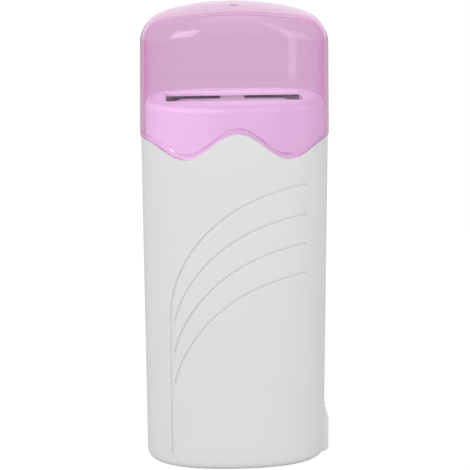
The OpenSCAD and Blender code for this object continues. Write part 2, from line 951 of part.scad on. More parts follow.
// The bracket that clamps the element: one strip bent over it, with a foot on each side
module heater_bracket() {
    foot = bracket_in + bracket_t + bracket_foot;
    top = bracket_y + bracket_t;
    color("lightsteelblue")
        difference() {
            translate([0, 0, bracket_mid - bracket_l / 2])
                linear_extrude(bracket_l)
                    polygon([
                        [-foot, plate_back], [-bracket_in, plate_back], [-bracket_in, bracket_y],
                        [bracket_in, bracket_y], [bracket_in, plate_back], [foot, plate_back],
                        [foot, plate_back + bracket_t],
                        [bracket_in + bracket_t, plate_back + bracket_t],
                        [bracket_in + bracket_t, top], [-bracket_in - bracket_t, top],
                        [-bracket_in - bracket_t, plate_back + bracket_t],
                        [-foot, plate_back + bracket_t]
                    ]);
            for (p = [for (k = [0 : 3]) heater_screw_places()[k]])
                translate([p.x, 0, p.y])
                    rod_y(m3_d + fit, plate_back - 1, plate_back + bracket_t + 1);
        }
}

// Screws of the bracket and of the fuse's clip, with cross recesses
module heater_screws() {
    color("gray")
        for (p = heater_screw_places())
            translate([p.x, plate_back, p.y])
                difference() {
                    union() {
                        rod_y(m3_d, -plate_t, p.z);
                        rod_y(m3_head_d, p.z, p.z + m3_head_h);
                    }
                    for (turn = [0, 90])
                        rotate([0, turn, 0])
                            translate([-1.2, p.z + 0.7, -0.25])
                                cube([2.4, 2, 0.5]);
                }
}

// The thermal fuse: a small case with a lead at each end
module thermal_fuse() {
    color("khaki")
        translate([0, fuse_y, fuse_z])
            union() {
                rod_x(fuse_d, fuse_x - fuse_l / 2, fuse_x + fuse_l / 2);
                rod_x(fuse_lead_d, fuse_x - sleeve_l / 2, fuse_x + sleeve_l / 2);
            }
}

// The woven sleeve around the fuse
module fuse_sleeve() {
    color("ivory")
        translate([0, fuse_y, fuse_z])
            difference() {
                rod_x(sleeve_d, fuse_x - sleeve_l / 2, fuse_x + sleeve_l / 2);
                rod_x(
                    sleeve_d - 2 * sleeve_wall, fuse_x - sleeve_l / 2 - 1, fuse_x + sleeve_l / 2 + 1
                );
            }
}

// Outline of a half loop over the sleeve with straight sides down to the plate
module clip_outline(r) {
    seat = plate_back - fuse_y;
    translate([seat, -r])
        square([-seat, 2 * r]);
    intersection() {
        circle(r);
        translate([0, -r])
            square(2 * r);
    }
}

// The clip that holds the sleeve to the plate: a half loop and a foot under one screw
module fuse_clip() {
    color("lightsteelblue")
        difference() {
            union() {
                translate([fuse_x - clip_l / 2, fuse_y, fuse_z])
                    rotate([90, 0, 90])
                        linear_extrude(clip_l)
                            difference() {
                                clip_outline(clip_outside);
                                clip_outline(clip_inside);
                            }
                plan_box(
                    fuse_x - clip_l / 2, plate_back, fuse_x + clip_l / 2, plate_back + clip_t,
                    fuse_z + clip_inside, clip_screw_z + m3_head_d / 2 + m3_margin
                );
            }
            translate([fuse_x, 0, clip_screw_z])
                rod_y(m3_d + fit, plate_back - 1, plate_back + clip_t + 1);
        }
}

// Crimped sleeves that join the wires to the element's tabs
module crimp_sleeves() {
    slit_w = tab_w + 2 * fit;
    slit_t = tab_t + 2 * fit;
    color("lightgray")
        for (x = tab_x)
            translate([x, tab_y, 0])
                difference() {
                    translate([0, 0, crimp_z])
                        cylinder(d = crimp_d, h = crimp_l);
                    translate([0, 0, crimp_z - 1])
                        cylinder(d = wire_d + 2 * fit, h = crimp_hole + 1);
                    translate([-slit_w / 2, -slit_t / 2, heater_z - tab_l - 2 * fit])
                        cube([slit_w, slit_t, tab_l + 1]);
                }
}

// ---- Power inlet, lamp and wires ------------------------------------------------------------

// The inlet's moulding: a rounded block with a flange and a waisted opening for the plug
module inlet_body() {
    lobe = socket_w / 2;
    color([0.16, 0.16, 0.17])
        difference() {
            union() {
                inlet_form(inlet_back, inlet_face);
                plan_box(
                    flange_x, -inlet_w / 2 - flange_over, flange_x + flange_t,
                    inlet_w / 2 + flange_over, inlet_z - inlet_h / 2 + flange_end,
                    inlet_z + inlet_h / 2 - flange_end
                );
            }
            translate([inlet_face - socket_depth, 0, inlet_z])
                rotate([90, 0, 90])
                    linear_extrude(socket_depth + 1)
                        union() {
                            for (z = [-1, 1])
                                translate([0, z * (socket_h / 2 - lobe)])
                                    circle(lobe);
                            square([socket_w - 2 * socket_waist, socket_h - 2 * lobe], center = true);
                        }
            for (z = [-1, 1])
                translate([0, 0, inlet_z + z * pin_pitch / 2])
                    rod_x(pin_shank_d + fit, inlet_back - 1, inlet_face - socket_depth + 1);
        }
}

// The two contacts: round pins in the opening, thinner shanks in its floor, flat tails behind
module inlet_contacts() {
    foot = inlet_face - socket_depth + pin_neck;
    color("goldenrod")
        for (z = [-1, 1])
            translate([0, 0, inlet_z + z * pin_pitch / 2])
                union() {
                    rod_x(pin_shank_d, inlet_back - pin_tail, foot);
                    rod_x(pin_d, foot, inlet_face - pin_short);
                    translate([inlet_face - pin_short, 0, 0])
                        sphere(d = pin_d);
                    translate([inlet_back - tail_l, -tail_t / 2, -tail_w / 2])
                        cube([tail_l, tail_t, tail_w]);
                }
}

// The lens that shows the lamp: a domed head, a stem through the wall and a hollow for the lamp
module indicator_lens() {
    color([0.8, 0.1, 0.08])
        translate([0, lens_y, lens_z])
            rotate([90, 0, 0])
                rotate_extrude()
                    polygon([
                        [0, -lens_head_h], [lens_d / 2 - 1.4, -lens_head_h + 0.12],
                        [lens_d / 2 - 0.5, -lens_head_h + 0.5], [lens_d / 2, -fit],
                        [lens_stem_d / 2, -fit], [lens_stem_d / 2, lens_stem_l], [lamp_d / 2 + fit, lens_stem_l],
                        [lamp_d / 2 + fit, lens_face_t], [0, lens_face_t]
                    ]);
}

// The push-on ring that keeps the lens in the wall
module lens_ring() {
    y = lens_y - shell_wall - fit;
    color("lightgray")
        translate([0, 0, lens_z])
            difference() {
                rod_y(lens_stem_d + 3, y - ring_t, y);
                rod_y(lens_stem_d + fit, y - ring_t - 1, y + 1);
            }
}

// The neon lamp: a glass capsule with two leads
module neon_lamp() {
    color([0.95, 0.75, 0.6])
        translate([0, 0, lens_z])
            union() {
                rod_y(lamp_d, lamp_y - lamp_l, lamp_y - lamp_d / 2);
                translate([0, lamp_y - lamp_d / 2, 0])
                    sphere(d = lamp_d);
                mirrored()
                    translate([lamp_lead_x, 0, 0])
                        rod_y(lamp_lead_d, lamp_lead_y, lamp_y - lamp_l + 1);
            }
}

// The resistor in series with the lamp, on its left lead
module lamp_resistor() {
    color("tan")
        translate([resistor_x, 0, lens_z])
            rod_y(resistor_d, lamp_lead_y - fit - resistor_l, lamp_lead_y - fit);
}

// The live wire, from the inlet's upper tail to the fuse
module live_wire() {
    tail = inlet_back - tail_l - 2 * fit;
    start_z = inlet_z + pin_pitch / 2;
    end_x = fuse_x + sleeve_l / 2;
    up = end_x + wire_bend;
    color("saddlebrown")
        wire(
            [
                [tail, 0, start_z], [tail - wire_bend / 2, wire_bend / 8, start_z],
                [tail - wire_bend, fuse_y / 4, start_z + wire_bend / 2],
                [up - wire_bend / 4, fuse_y * 2 / 3, (start_z + frame_z) / 2], [up, fuse_y, frame_z],
                [up, fuse_y, fuse_z - wire_bend],
                [up - wire_bend / 4, fuse_y, fuse_z - wire_bend / 6], [end_x + fit, fuse_y, fuse_z]
            ],
            wire_d
        );
}

// The neutral wire, from the inlet's lower tail between the ribs to the element's outer tab
module neutral_wire() {
    tail = inlet_back - tail_l - 2 * fit;
    start_z = inlet_z - pin_pitch / 2;
    lane = -(rib_x - rib_t / 2 - wire_d);
    color("steelblue")
        wire(
            [
                [tail, 0, start_z], [tail - wire_bend, 0, start_z], [rib_x, 0, wire_low],
                [rib_x / 3, wire_bend / 2, wire_low + wire_bend / 2],
                [lane / 2, tab_y * 0.4, frame_z / 2], [lane, tab_y * 0.9, frame_z * 0.8],
                [lane, tab_y + fit, frame_z + fit], [tab_x[0], tab_y, fuse_z + wire_bend],
                [tab_x[0], tab_y, crimp_z], [tab_x[0], tab_y, wire_end_z]
            ],
            wire_d
        );
}

// The wire from the fuse to the element's inner tab
module link_wire() {
    start = fuse_x - sleeve_l / 2 - fit;
    color("ivory")
        wire(
            [
                [start, fuse_y, fuse_z], [start - wire_bend * 2 / 3, fuse_y, fuse_z + wire_bend / 5],
                [tab_x[1] + wire_bend / 6, fuse_y, fuse_z + wire_bend * 5 / 4],
                [tab_x[1], tab_y, fuse_z + wire_bend * 10 / 3], [tab_x[1], tab_y, wire_end_z]
            ],
            wire_d
        );
}

// Thin wires from the lamp and its resistor to the inlet's tails
module lamp_wires() {
    bend = lamp_wire_d * 2;
    end_x = inlet_back - tail_l + 1.4;
    beside = tail_t / 2 + lamp_wire_d / 2 + fit / 2;
    high = inlet_z + pin_pitch / 2;
    low = inlet_z - pin_pitch / 2;
    first_y = lamp_lead_y - fit;
    second_y = first_y - resistor_l - 2 * fit;
    color("firebrick") {
        wire(
            [
                [lamp_lead_x, first_y, lens_z],
                [lamp_lead_x + bend / 5, first_y - bend, lens_z + bend / 5],
                [rib_x / 2, first_y * 0.4, lens_z + bend], [rib_x, bend / 4, high + bend * 3 / 2],
                [rib_x + bend * 2, bend / 4, high + bend * 2],
                [end_x - bend / 5, beside, high + bend], [end_x, beside, high]
            ],
            lamp_wire_d
        );
        wire(
            [
                [resistor_x, second_y, lens_z],
                [resistor_x + bend / 5, second_y - bend, lens_z - bend / 3],
                [rib_x * 0.4, bend * 2 / 3, lens_z - bend], [rib_x, bend / 4, lens_z - bend * 6 / 5],
                [rib_x + bend * 2, bend / 3, low + bend * 5 / 3],
                [end_x - bend / 5, beside, low + bend], [end_x, beside, low]
            ],
            lamp_wire_d
        );
    }
}

// ---- Screws ---------------------------------------------------------------------------------

// A screw along Z with its head's seat at zero, its point below and a cross recess above
module pan_screw(d, l, head_d, head_h) {
    slot_t = head_d / 8;
    difference() {
        union() {
            translate([0, 0, -l])
                cylinder(d = d, h = l);
            translate([0, 0, -l])
                mirror([0, 0, 1])
                    cylinder(d1 = d, d2 = d / 6, h = screw_point);
            cylinder(d = head_d, h = head_h);
        }
        for (turn = [0, 90])
            rotate([0, 0, turn])
                translate([-head_d / 4, -slot_t / 2, head_h / 2])
                    cube([head_d / 2, slot_t, head_h]);
    }
}

module case_screws() {
    color("gray")
        mirrored()
            for (z = [lower_screw_z, upper_screw_z])
                translate([screw_x, rear_boss_l, z])
                    rotate([-90, 0, 0])
                        pan_screw(screw_d, screw_l, screw_head_d, screw_head_h);
}

module frame_screws() {
    color("gray")
        mirrored()
            translate([lug_x, lug_y, lug_z])
                rotate([180, 0, 0])
                    pan_screw(
                        screw_d, lug_post + lug_t - screw_point - 4 * fit,
                        screw_head_d, screw_head_h
                    );
}

cap();
front_shell();
rear_shell();
neck_collar();
chamber_frame();
heat_plate();
ptc_element();
mica_sheets();
heater_bracket();
heater_screws();
thermal_fuse();
fuse_sleeve();
fuse_clip();
inlet_body();
inlet_contacts();
live_wire();
neutral_wire();
link_wire();
crimp_sleeves();
indicator_lens();
lens_ring();
neon_lamp();
lamp_resistor();
lamp_wires();
case_screws();
frame_screws();
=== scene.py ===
import bmesh
import bpy
import numpy as np
from mathutils import Matrix, Vector


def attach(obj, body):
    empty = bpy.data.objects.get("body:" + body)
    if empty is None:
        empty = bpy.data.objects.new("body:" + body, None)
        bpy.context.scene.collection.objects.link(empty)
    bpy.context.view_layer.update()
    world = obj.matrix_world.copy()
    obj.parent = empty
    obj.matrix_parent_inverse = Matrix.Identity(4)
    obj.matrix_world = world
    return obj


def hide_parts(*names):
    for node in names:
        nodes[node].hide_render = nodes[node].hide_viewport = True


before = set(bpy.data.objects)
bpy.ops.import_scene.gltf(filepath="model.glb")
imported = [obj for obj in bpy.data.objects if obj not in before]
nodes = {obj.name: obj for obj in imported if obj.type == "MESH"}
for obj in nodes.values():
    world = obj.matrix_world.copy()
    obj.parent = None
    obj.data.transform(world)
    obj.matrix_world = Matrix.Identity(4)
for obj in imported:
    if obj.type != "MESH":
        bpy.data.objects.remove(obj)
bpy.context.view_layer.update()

MM = 0.001

# ---- The room: camera, pale floor and soft lights -----------------------------------------------
# A long lens stands 0.77 m away, a little above and to the left of the middle. A wide pale floor
# carries the object and its shadow. Large soft panels and an even sky light it at a plain level.

turn, lift, roll = np.radians([-3.232, 14.659, -0.242])
target = np.array([0, 0, 88]) * MM
back = np.array([np.sin(turn) * np.cos(lift), -np.cos(turn) * np.cos(lift), np.sin(lift)])
level = np.array([np.cos(turn), np.sin(turn), 0])
upward = np.cross(back, level)
right = np.cos(roll) * level + np.sin(roll) * upward
above = np.cos(roll) * upward - np.sin(roll) * level
camera_data = bpy.data.cameras.new("camera")
camera_data.sensor_width = 36
camera_data.lens = 1948.9 / 470 * camera_data.sensor_width
camera_data.shift_y = 6.16 / 470
camera = bpy.data.objects.new("camera", camera_data)
bpy.context.scene.collection.objects.link(camera)
stand = target + back * 767.94 * MM
camera.matrix_world = Matrix([
    *[[*row, p] for row, p in zip(np.stack([right, above, back], 1), stand)], [0, 0, 0, 1]
])
bpy.context.scene.camera = camera
bpy.context.scene.view_settings.view_transform = "Standard"


def add(tree, kind, inputs=(), **settings):
    """A node added to a tree, with its settings made and its inputs set or joined to outputs."""
    node = tree.nodes.new(kind if kind.startswith("Node") else "ShaderNode" + kind)
    for name, value in settings.items():
        setattr(node, name, value)
    for name, value in dict(inputs).items():
        if isinstance(value, bpy.types.NodeSocket):
            tree.links.new(value, node.inputs[name])
        else:
            node.inputs[name].default_value = value
    return node


def seen_level(tree, direct, through, mirrored, otherwise=0.0):
    """A level for rays that look, from the camera, through glass or in a mirror image, and another
    for all other rays, which carry the light itself."""
    rays = add(tree, "LightPath").outputs
    levels = {"Is Glossy Ray": mirrored, "Is Transmission Ray": through, "Is Camera Ray": direct}
    level = otherwise
    for ray, value in levels.items():
        level = add(tree, "Mix", {0: rays[ray], 2: level, 3: value}).outputs[0]
    return level


def soft_panel(name, spot, aim, size, power):
    """A soft panel, wide by tall, at a spot and turned to the point that it is aimed at."""
    data = bpy.data.lights.new(name, "AREA")
    data.shape = "RECTANGLE"
    data.size, data.size_y = size
    data.energy = power
    panel = bpy.data.objects.new(name, data)
    panel.location = spot
    panel.rotation_euler = (Vector(aim) - Vector(spot)).to_track_quat("-Z", "Y").to_euler()
    panel.visible_camera = False
    bpy.context.scene.collection.objects.link(panel)


soft_panel("key_panel", (-0.95, -0.95, 0.8), (0, 0, 0.09), (0.8, 0.8), 7.8)
soft_panel("top_panel", (0.05, -0.05, 1.1), (0, 0, 0.1), (0.8, 0.8), 1.6)
soft_panel("side_panel", (0.95, -0.55, 0.5), (0, 0, 0.09), (0.6, 0.6), 1.4)
soft_panel("strip_panel", (0.34, -0.34, 0.4), (0, 0, 0.12), (0.12, 0.8), 0.5)

world = bpy.data.worlds.new("even_sky")
world.use_nodes = True
tree = world.node_tree
tree.links.new(seen_level(tree, 1.0, 1.0, 1.0, 0.6), tree.nodes["Background"].inputs["Strength"])
tree.nodes["Background"].inputs["Color"].default_value = (1, 1, 1, 1)
bpy.context.scene.world = world

floor_mesh = bpy.data.meshes.new("floor")
reach = 6.0
corners = [(-reach, -reach, 0), (reach, -reach, 0), (reach, reach, 0), (-reach, reach, 0)]
floor_mesh.from_pydata(corners, [], [(0, 1, 2, 3)])
floor = bpy.data.objects.new("floor", floor_mesh)
bpy.context.scene.collection.objects.link(floor)
paper = bpy.data.materials.new("pale_floor")
paper.use_nodes = True
tree = paper.node_tree
matt = tree.nodes["Principled BSDF"]
matt.inputs["Base Color"].default_value = (0.6, 0.6, 0.6, 1)
matt.inputs["Roughness"].default_value = 0.9
matt.inputs["Specular IOR Level"].default_value = 0.1
glow = add(tree, "Emission", {"Strength": seen_level(tree, 1.08, 0.99, 0.5)})
blend = add(tree, "MixShader", {
    "Fac": seen_level(tree, 0.9, 0.9, 0.9), 1: matt.outputs["BSDF"], 2: glow.outputs["Emission"],
})
tree.links.new(blend.outputs["Shader"], tree.nodes["Material Output"].inputs["Surface"])
floor_mesh.materials.append(paper)

# ---- Front shell --------------------------------------------------------------------------------
# The curved front half of the body, injection moulded in satin white ABS. It carries the arched
# grooves, half of the pad round the inlet, two screw bosses and the ribs that bear the chamber.

BODY_W, BASE_W, BODY_H = 72.4, 71.0, 131.2
FRONT, REAR = 23.0, 26.0
FRONT_POWER, REAR_POWER = 2.35, 3.35
CREST, TROUGH, TROUGH_X = 4.3, 6.0, 20.5
WALL, RIM_WALL, FLOOR_T, BASE_ROUND = 2.4, 1.2, 2.5, 3.0
CATCH_TOP, CATCH_LOW, CATCH_BASE = 117.0, 114.5, 112.1
PARTING = 0.2
SCREW_X, SCREW_Z = 31.5, (24.4, 104.0)
INLET_Z, INLET_W, INLET_H = 12.0, 10.6, 17.4


def body_size(z, inset):
    """Half width, front reach and rear reach of the body, which grow a little with height."""
    grown = z / BODY_H
    half = BASE_W / 2 + (BODY_W - BASE_W) / 2 * grown - inset
    return half, FRONT - (1 - grown) - inset, REAR - 0.4 * (1 - grown) - inset


def body_point(angle, inset, z):
    """A point of the body's outline at a height. The outline is a superellipse in polar form:
    (|cos|/half width)^p + (|sin|/reach)^p = 1/r^p, with a higher power p behind than in front."""
    half, front, rear = body_size(z, inset)
    ahead = np.sin(angle) < 0
    reach, p = np.where(ahead, front, rear), np.where(ahead, FRONT_POWER, REAR_POWER)
    r = ((np.abs(np.cos(angle)) / half) ** p + (np.abs(np.sin(angle)) / reach) ** p) ** (-1 / p)
    return r * np.cos(angle), r * np.sin(angle)


def wall_depth(x, z, side, inset=0.0):
    """How far the outline reaches at a place across: y = reach (1 - (|x|/half width)^p)^(1/p)."""
    half, front, rear = body_size(z, inset)
    reach, p = (front, FRONT_POWER) if side < 0 else (rear, REAR_POWER)
    return side * reach * (1 - np.clip(np.abs(x) / half, 0, 1) ** p) ** (1 / p)


def wave(x):
    """Height of the shoulder: half a cosine from the crest down to each trough, then half a cosine
    back up to the side."""
    x = np.abs(x)
    low, crest = BODY_H - TROUGH, BODY_H + CREST
    inner = (crest + low) / 2 + (crest - low) / 2 * np.cos(np.pi * x / TROUGH_X)
    outer = low + TROUGH * (1 - np.cos(np.pi * (x - TROUGH_X) / (BODY_W / 2 - TROUGH_X))) / 2
    return np.where(x < TROUGH_X, inner, outer)


def body_row(angle, inset, z, shrink=1.0):
    """A row of points round the body at one inset and height, drawn in towards the middle."""
    z = z + 0 * angle
    x, y = body_point(angle, inset, z)
    return np.stack([x * shrink, y * shrink, z], 1)


def grid(rows, around=False, ends=False):
    """Points and quads of rows of points. With around, the last column meets the first. With ends,
    the first and last rows are closed by a face each."""
    rows = np.asarray(rows, float)
    count, columns = rows.shape[:2]
    i = np.arange(count - 1)[:, None]
    j = np.arange(columns if around else columns - 1)[None, :]
    k = (j + 1) % columns
    quads = np.stack([i * columns + j, i * columns + k, (i + 1) * columns + k, (i + 1) * columns + j], -1)
    faces = quads.reshape(-1, 4).tolist()
    if ends:
        faces += [list(range(columns)), list(range(count * columns - 1, (count - 1) * columns - 1, -1))]
    return rows.reshape(-1, 3), faces


def crisp(item, sharp=30):
    """Smooth shading, apart from edges whose faces turn by more than the sharp angle."""
    mesh = item.data
    mesh.polygons.foreach_set("use_smooth", np.ones(len(mesh.polygons), bool))
    work = bmesh.new()
    work.from_mesh(mesh)
    for edge in work.edges:
        edge.smooth = len(edge.link_faces) == 2 and bool(edge.calc_face_angle(0) < np.radians(sharp))
    work.to_mesh(mesh)
    work.free()


def form(name, *parts, sharp=30):
    """An object from one or more parts, each of points in millimetres and faces. Doubles are merged
    and faces are turned outwards."""
    mesh = bpy.data.meshes.new(name)
    starts = np.cumsum([0] + [len(points) for points, _ in parts])
    faces = [[v + start for v in face] for (_, part), start in zip(parts, starts.tolist()) for face in part]
    mesh.from_pydata((np.concatenate([points for points, _ in parts]) * MM).tolist(), [], faces)
    work = bmesh.new()
    work.from_mesh(mesh)
    bmesh.ops.remove_doubles(work, verts=work.verts, dist=2e-6)
    bmesh.ops.recalc_face_normals(work, faces=work.faces)
    work.to_mesh(mesh)
    work.free()
    item = bpy.data.objects.new(name, mesh)
    bpy.context.scene.collection.objects.link(item)
    crisp(item, sharp)
    return item


def carve(item, tool, how="DIFFERENCE"):
    """Cuts a closed tool out of an object, or joins it on, and removes the tool."""
    change = item.modifiers.new("carve", "BOOLEAN")
    change.operation, change.object, change.solver = how, tool, "EXACT"
    result = bpy.data.meshes.new_from_object(item.evaluated_get(bpy.context.evaluated_depsgraph_get()))
    item.modifiers.clear()
    old, item.data = item.data, result
    bpy.data.meshes.remove(old)
    bpy.data.objects.remove(tool)


def turned(profile, spot=(0, 0, 0), axis="Y", columns=48):
    """A closed shape turned about a line through a spot along an axis: each point of the profile is
    a radius and a distance along the line, carried round by sine and cosine."""
    t = np.linspace(0, 2 * np.pi, columns, endpoint=False)
    r, along = np.array(profile, float).T[:, :, None]
    u, v, w = r * np.cos(t), r * np.sin(t), along + 0 * t
    rows = {"X": (w, u, v), "Y": (v, w, u), "Z": (u, v, w)}[axis]
    return grid(np.stack(rows, -1) + np.array(spot), around=True)


def half_shell(side):
    """Half of the body on one side of its parting line, as one closed wall. A row of points runs
    round it at each step of its section: across the base, up the outside, over the wavy rim and
    down the inside. The outer edge along the parting line is rounded by a quarter circle."""
    fine = np.array([0, 0.03, 0.07, 0.13, PARTING, 0.4, 0.7]) / (BODY_W / 2)
    spread = np.linspace(1.1 / (BODY_W / 2), np.pi - 1.1 / (BODY_W / 2), 241)
    angle = np.concatenate([fine, spread, np.pi - fine[::-1]])
    near = np.minimum(angle, np.pi - angle) * BODY_W / 2
    edge = PARTING - np.sqrt(PARTING ** 2 - np.clip(PARTING - near, 0, PARTING) ** 2)
    angle = angle * side
    rim = wave(body_point(angle, 0, BODY_H + 0 * angle)[0])
    quarter = np.radians(np.linspace(0, 90, 7))
    rows = [body_row(angle, BASE_ROUND + edge, 0, f) for f in (0, 0.5)]
    rows += [body_row(angle, BASE_ROUND * (1 - np.sin(t)) + edge, BASE_ROUND * (1 - np.cos(t)))
             for t in quarter]
    rows += [body_row(angle, edge, z) for z in np.linspace(6, CATCH_BASE, 30)]
    rows += [body_row(angle, edge, CATCH_BASE + (rim - 0.3 - CATCH_BASE) * f)
             for f in np.linspace(0.15, 1, 8)]
    rows += [body_row(angle, 0.3 * (1 - np.cos(t)) + edge, rim - 0.3 * (1 - np.sin(t)))
             for t in quarter[1:]]
    rows += [body_row(angle, RIM_WALL - 0.2 * (1 - np.sin(t)), rim - 0.2 * (1 - np.cos(t)))
             for t in quarter]
    rows += [body_row(angle, inset, z) for inset, z in (
        (RIM_WALL, CATCH_TOP + 0.2), (WALL, CATCH_TOP), (WALL, CATCH_LOW + 0.2),
        (RIM_WALL, CATCH_LOW), (RIM_WALL, CATCH_BASE + 0.2), (WALL, CATCH_BASE), (WALL, 60),
        (WALL, FLOOR_T))]
    rows += [body_row(angle, WALL, FLOOR_T, f) for f in (0.5, 0)]
    points, faces = grid(rows)
    columns, last = len(angle), len(points) - 1
    faces.append(list(range(0, last, columns)) + list(range(last, 0, -columns)))
    return points, faces


def pad_half(side):
    """Half of the raised pad round the inlet. Its outline, seen from the front, has a long ramp
    above and a rounded foot; it is swept from the parting line to the pad's softened side."""
    low, high, out, wall = 2.2, 21.8, 36.85, BASE_W / 2 - WALL + 0.4
    quarter = np.radians(np.linspace(0, 90, 7))
    f = np.linspace(0, 1, 9)

    def ring(y, e):
        foot = [(out - 1.8 + (1.8 - e) * np.sin(a), low + 1.8 - (1.8 - e) * np.cos(a)) for a in quarter]
        ramp = [(out - e - 1.3 * (3 * u * u - 2 * u ** 3), high - 6.2 + 6.2 * u - e * u) for u in f]
        return [(x, y, z) for x, z in [(wall, low + e), *foot, *ramp, (wall, high - e)]]

    steps = [(0, 0.2), (0.06, 0.08), (0.2, 0)]
    steps += [(8 - 0.5 * (1 - np.sin(a)), 0.5 * (1 - np.cos(a))) for a in quarter]
    return grid([ring(side * y, e) for y, e in steps], around=True, ends=True)


def boss(x, z, side):
    """A screw boss from the parting line into the middle of the wall: rings of growing radius on
    its flat foot, then rings of falling radius on the wall's own curve."""
    t = np.linspace(0, 2 * np.pi, 48, endpoint=False)
    rows = []
    for r, foot in [(0, True), (3.4, True)] + [(r, False) for r in (3.4, 2.5, 1.6, 0.7, 0)]:
        px, pz = x + r * np.cos(t), z + r * np.sin(t)
        reach = 0.05 + 0 * t if foot else np.maximum(np.abs(wall_depth(px, pz, side, 1.0)), 0.3)
        rows.append(np.stack([px, side * reach, pz], 1))
    return grid(rows, around=True)


def rib(x, side, levels):
    """An upright rib that joins the wall. At each level it spans from its free edge to the wall."""
    rows = []
    for z, inner in levels:
        left, right = x - 0.9, x + 0.9
        rows.append([(left, inner, z), (right, inner, z),
                     (right, wall_depth(right, z, side, 1.2), z), (left, wall_depth(left, z, side, 1.2), z)])
    return grid(rows, around=True, ends=True)


def round_rect_row(w, h, r, grow, x, per_corner=9):
    """A rounded rectangle seen along X, centred on the inlet and larger by a margin."""
    t = np.radians(np.linspace(0, 90, per_corner))
    corner = np.stack([np.cos(t), np.sin(t)], 1)
    points = []
    for k, (cy, cz) in enumerate(((1, 1), (-1, 1), (-1, -1), (1, -1))):
        c, s = np.cos(k * np.pi / 2), np.sin(k * np.pi / 2)
        turned_corner = corner @ np.array([[c, s], [-s, c]])
        points.append(turned_corner * (r + grow) + [cy * (w / 2 - r), cz * (h / 2 - r)])
    yz = np.concatenate(points)
    return np.stack([0 * yz[:, 0] + x, yz[:, 0], yz[:, 1] + INLET_Z], 1)


def inlet_hole():
    """The opening for the inlet, with a small lead-in at the pad's face."""
    steps = ((26.9, 0.1), (36.45, 0.1), (36.95, 0.6), (38, 0.6))
    rows = [round_rect_row(INLET_W, INLET_H, INLET_W / 3, grow, x) for x, grow in steps]
    return grid(rows, around=True, ends=True)


def groove_path(k):
    """Middle line of one arched groove seen from the front: a quarter of an ellipse that leaves the
    upright groove and ends nearly level."""
    wide, rise, top = 30 + 25.7, 52.4 + 1.1 * k, 114.4 - 11.7 * k
    a = np.linspace(0, np.arccos((30 - 26) / wide), 61)
    return np.stack([30 - wide * np.cos(a), top - rise + rise * np.sin(a)], 1)


def groove_tool(path, half=0.65, depth=0.55):
    """A bar that follows a line on the curved front. Its section is a box with a rounded floor, sunk
    by the groove's depth along the surface's normal, and its ends are half round."""
    along = np.gradient(path, axis=0)
    along /= np.linalg.norm(along, axis=1)[:, None]
    t = np.radians([10, 30, 50, 70])
    head = path[0] - along[0] * (half * np.cos(t))[:, None]
    tail = path[-1] + along[-1] * (half * np.cos(t[::-1]))[:, None]
    line = np.vstack([head, path, tail])
    widths = half * np.concatenate([np.sin(t), np.ones(len(path)), np.sin(t[::-1])])
    direction = np.vstack([[along[0]] * 4, along, [along[-1]] * 4])
    side = np.stack([direction[:, 1], -direction[:, 0]], 1)
    section = ((-1, -1.5), (1, -1.5), (1, 0.62), (0.85, 0.9), (0.55, 1), (-0.55, 1), (-0.85, 0.9), (-1, 0.62))
    rows = []
    for across, down in section:
        x, z = (line + side * (across * widths)[:, None]).T
        half_w, front, _ = body_size(z, 0)
        y = wall_depth(x, z, -1)
        nx = np.sign(x) * (np.abs(x) / half_w) ** (FRONT_POWER - 1) / half_w
        ny = -(np.abs(y) / front) ** (FRONT_POWER - 1) / front
        sunk = depth * down / np.hypot(nx, ny)
        rows.append(np.stack([x - nx * sunk, y - ny * sunk, z], 1))
    return grid(np.stack(rows, 1), around=True, ends=True)


front = form("front_shell_skin", half_shell(-1))
frame_rib = [(FLOOR_T - 0.5, -2), (28, -2), (28.01, -6.5), (60, -6.5), (104, -6.5)]
inside = [boss(s * SCREW_X, z, -1) for s in (-1, 1) for z in SCREW_Z]
inside += [rib(s * 10, -1, frame_rib) for s in (-1, 1)]
inside.append(rib(29.5, -1, [(FLOOR_T - 0.5, -0.05), (20.7, -0.05)]))
carve(front, form("inside", *inside), "UNION")
carve(front, form("pad", pad_half(-1)), "UNION")
carve(front, form("hole", inlet_hole()))
for k in range(4):
    carve(front, form("groove", groove_tool(groove_path(k))))
upright = np.stack([np.full(30, -25.7), np.linspace(6.2, 63, 30)], 1)
carve(front, form("groove", groove_tool(upright)))
pilot = [(0, -8.6), (1.35, -8.6), (1.35, 1), (0, 1)]
carve(front, form("pilots", *[turned(pilot, (s * SCREW_X, 0, z)) for s in (-1, 1) for z in SCREW_Z]))
crisp(front)
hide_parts("front_shell")
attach(front, "body")


def skin_group(name, takes, gives):
    """An empty shader node group with named inputs and outputs: the group and its two end nodes."""
    tree = bpy.data.node_groups.new(name, "ShaderNodeTree")
    for label, value in takes.items():
        kind = {(): "Float", (3,): "Vector", (4,): "Color"}[np.shape(value)]
        socket = tree.interface.new_socket(label, in_out="INPUT", socket_type="NodeSocket" + kind)
        socket.default_value = value
    for label, kind in gives.items():
        tree.interface.new_socket(label, in_out="OUTPUT", socket_type="NodeSocket" + kind)
    return tree, tree.nodes.new("NodeGroupInput").outputs, tree.nodes.new("NodeGroupOutput").inputs


def sums(tree, a, b, c=0.0, operation="MULTIPLY_ADD"):
    """One step of arithmetic between numbers or outputs."""
    return add(tree, "Math", {0: a, 1: b, 2: c}, operation=operation).outputs[0]


def noise(tree, place, scale, detail):
    """The value of a noise texture read at a place."""
    return add(tree, "TexNoise", {"Vector": place, "Scale": scale, "Detail": detail}).outputs["Fac"]


def tinted(tree, colour, amount):
    """A colour made lighter or darker by a number that changes over the surface."""
    grey = add(tree, "CombineColor", {0: amount, 1: amount, 2: amount}).outputs[0]
    return add(tree, "Mix", {0: 1.0, 6: colour, 7: grey}, data_type="RGBA", blend_type="MULTIPLY").outputs[2]


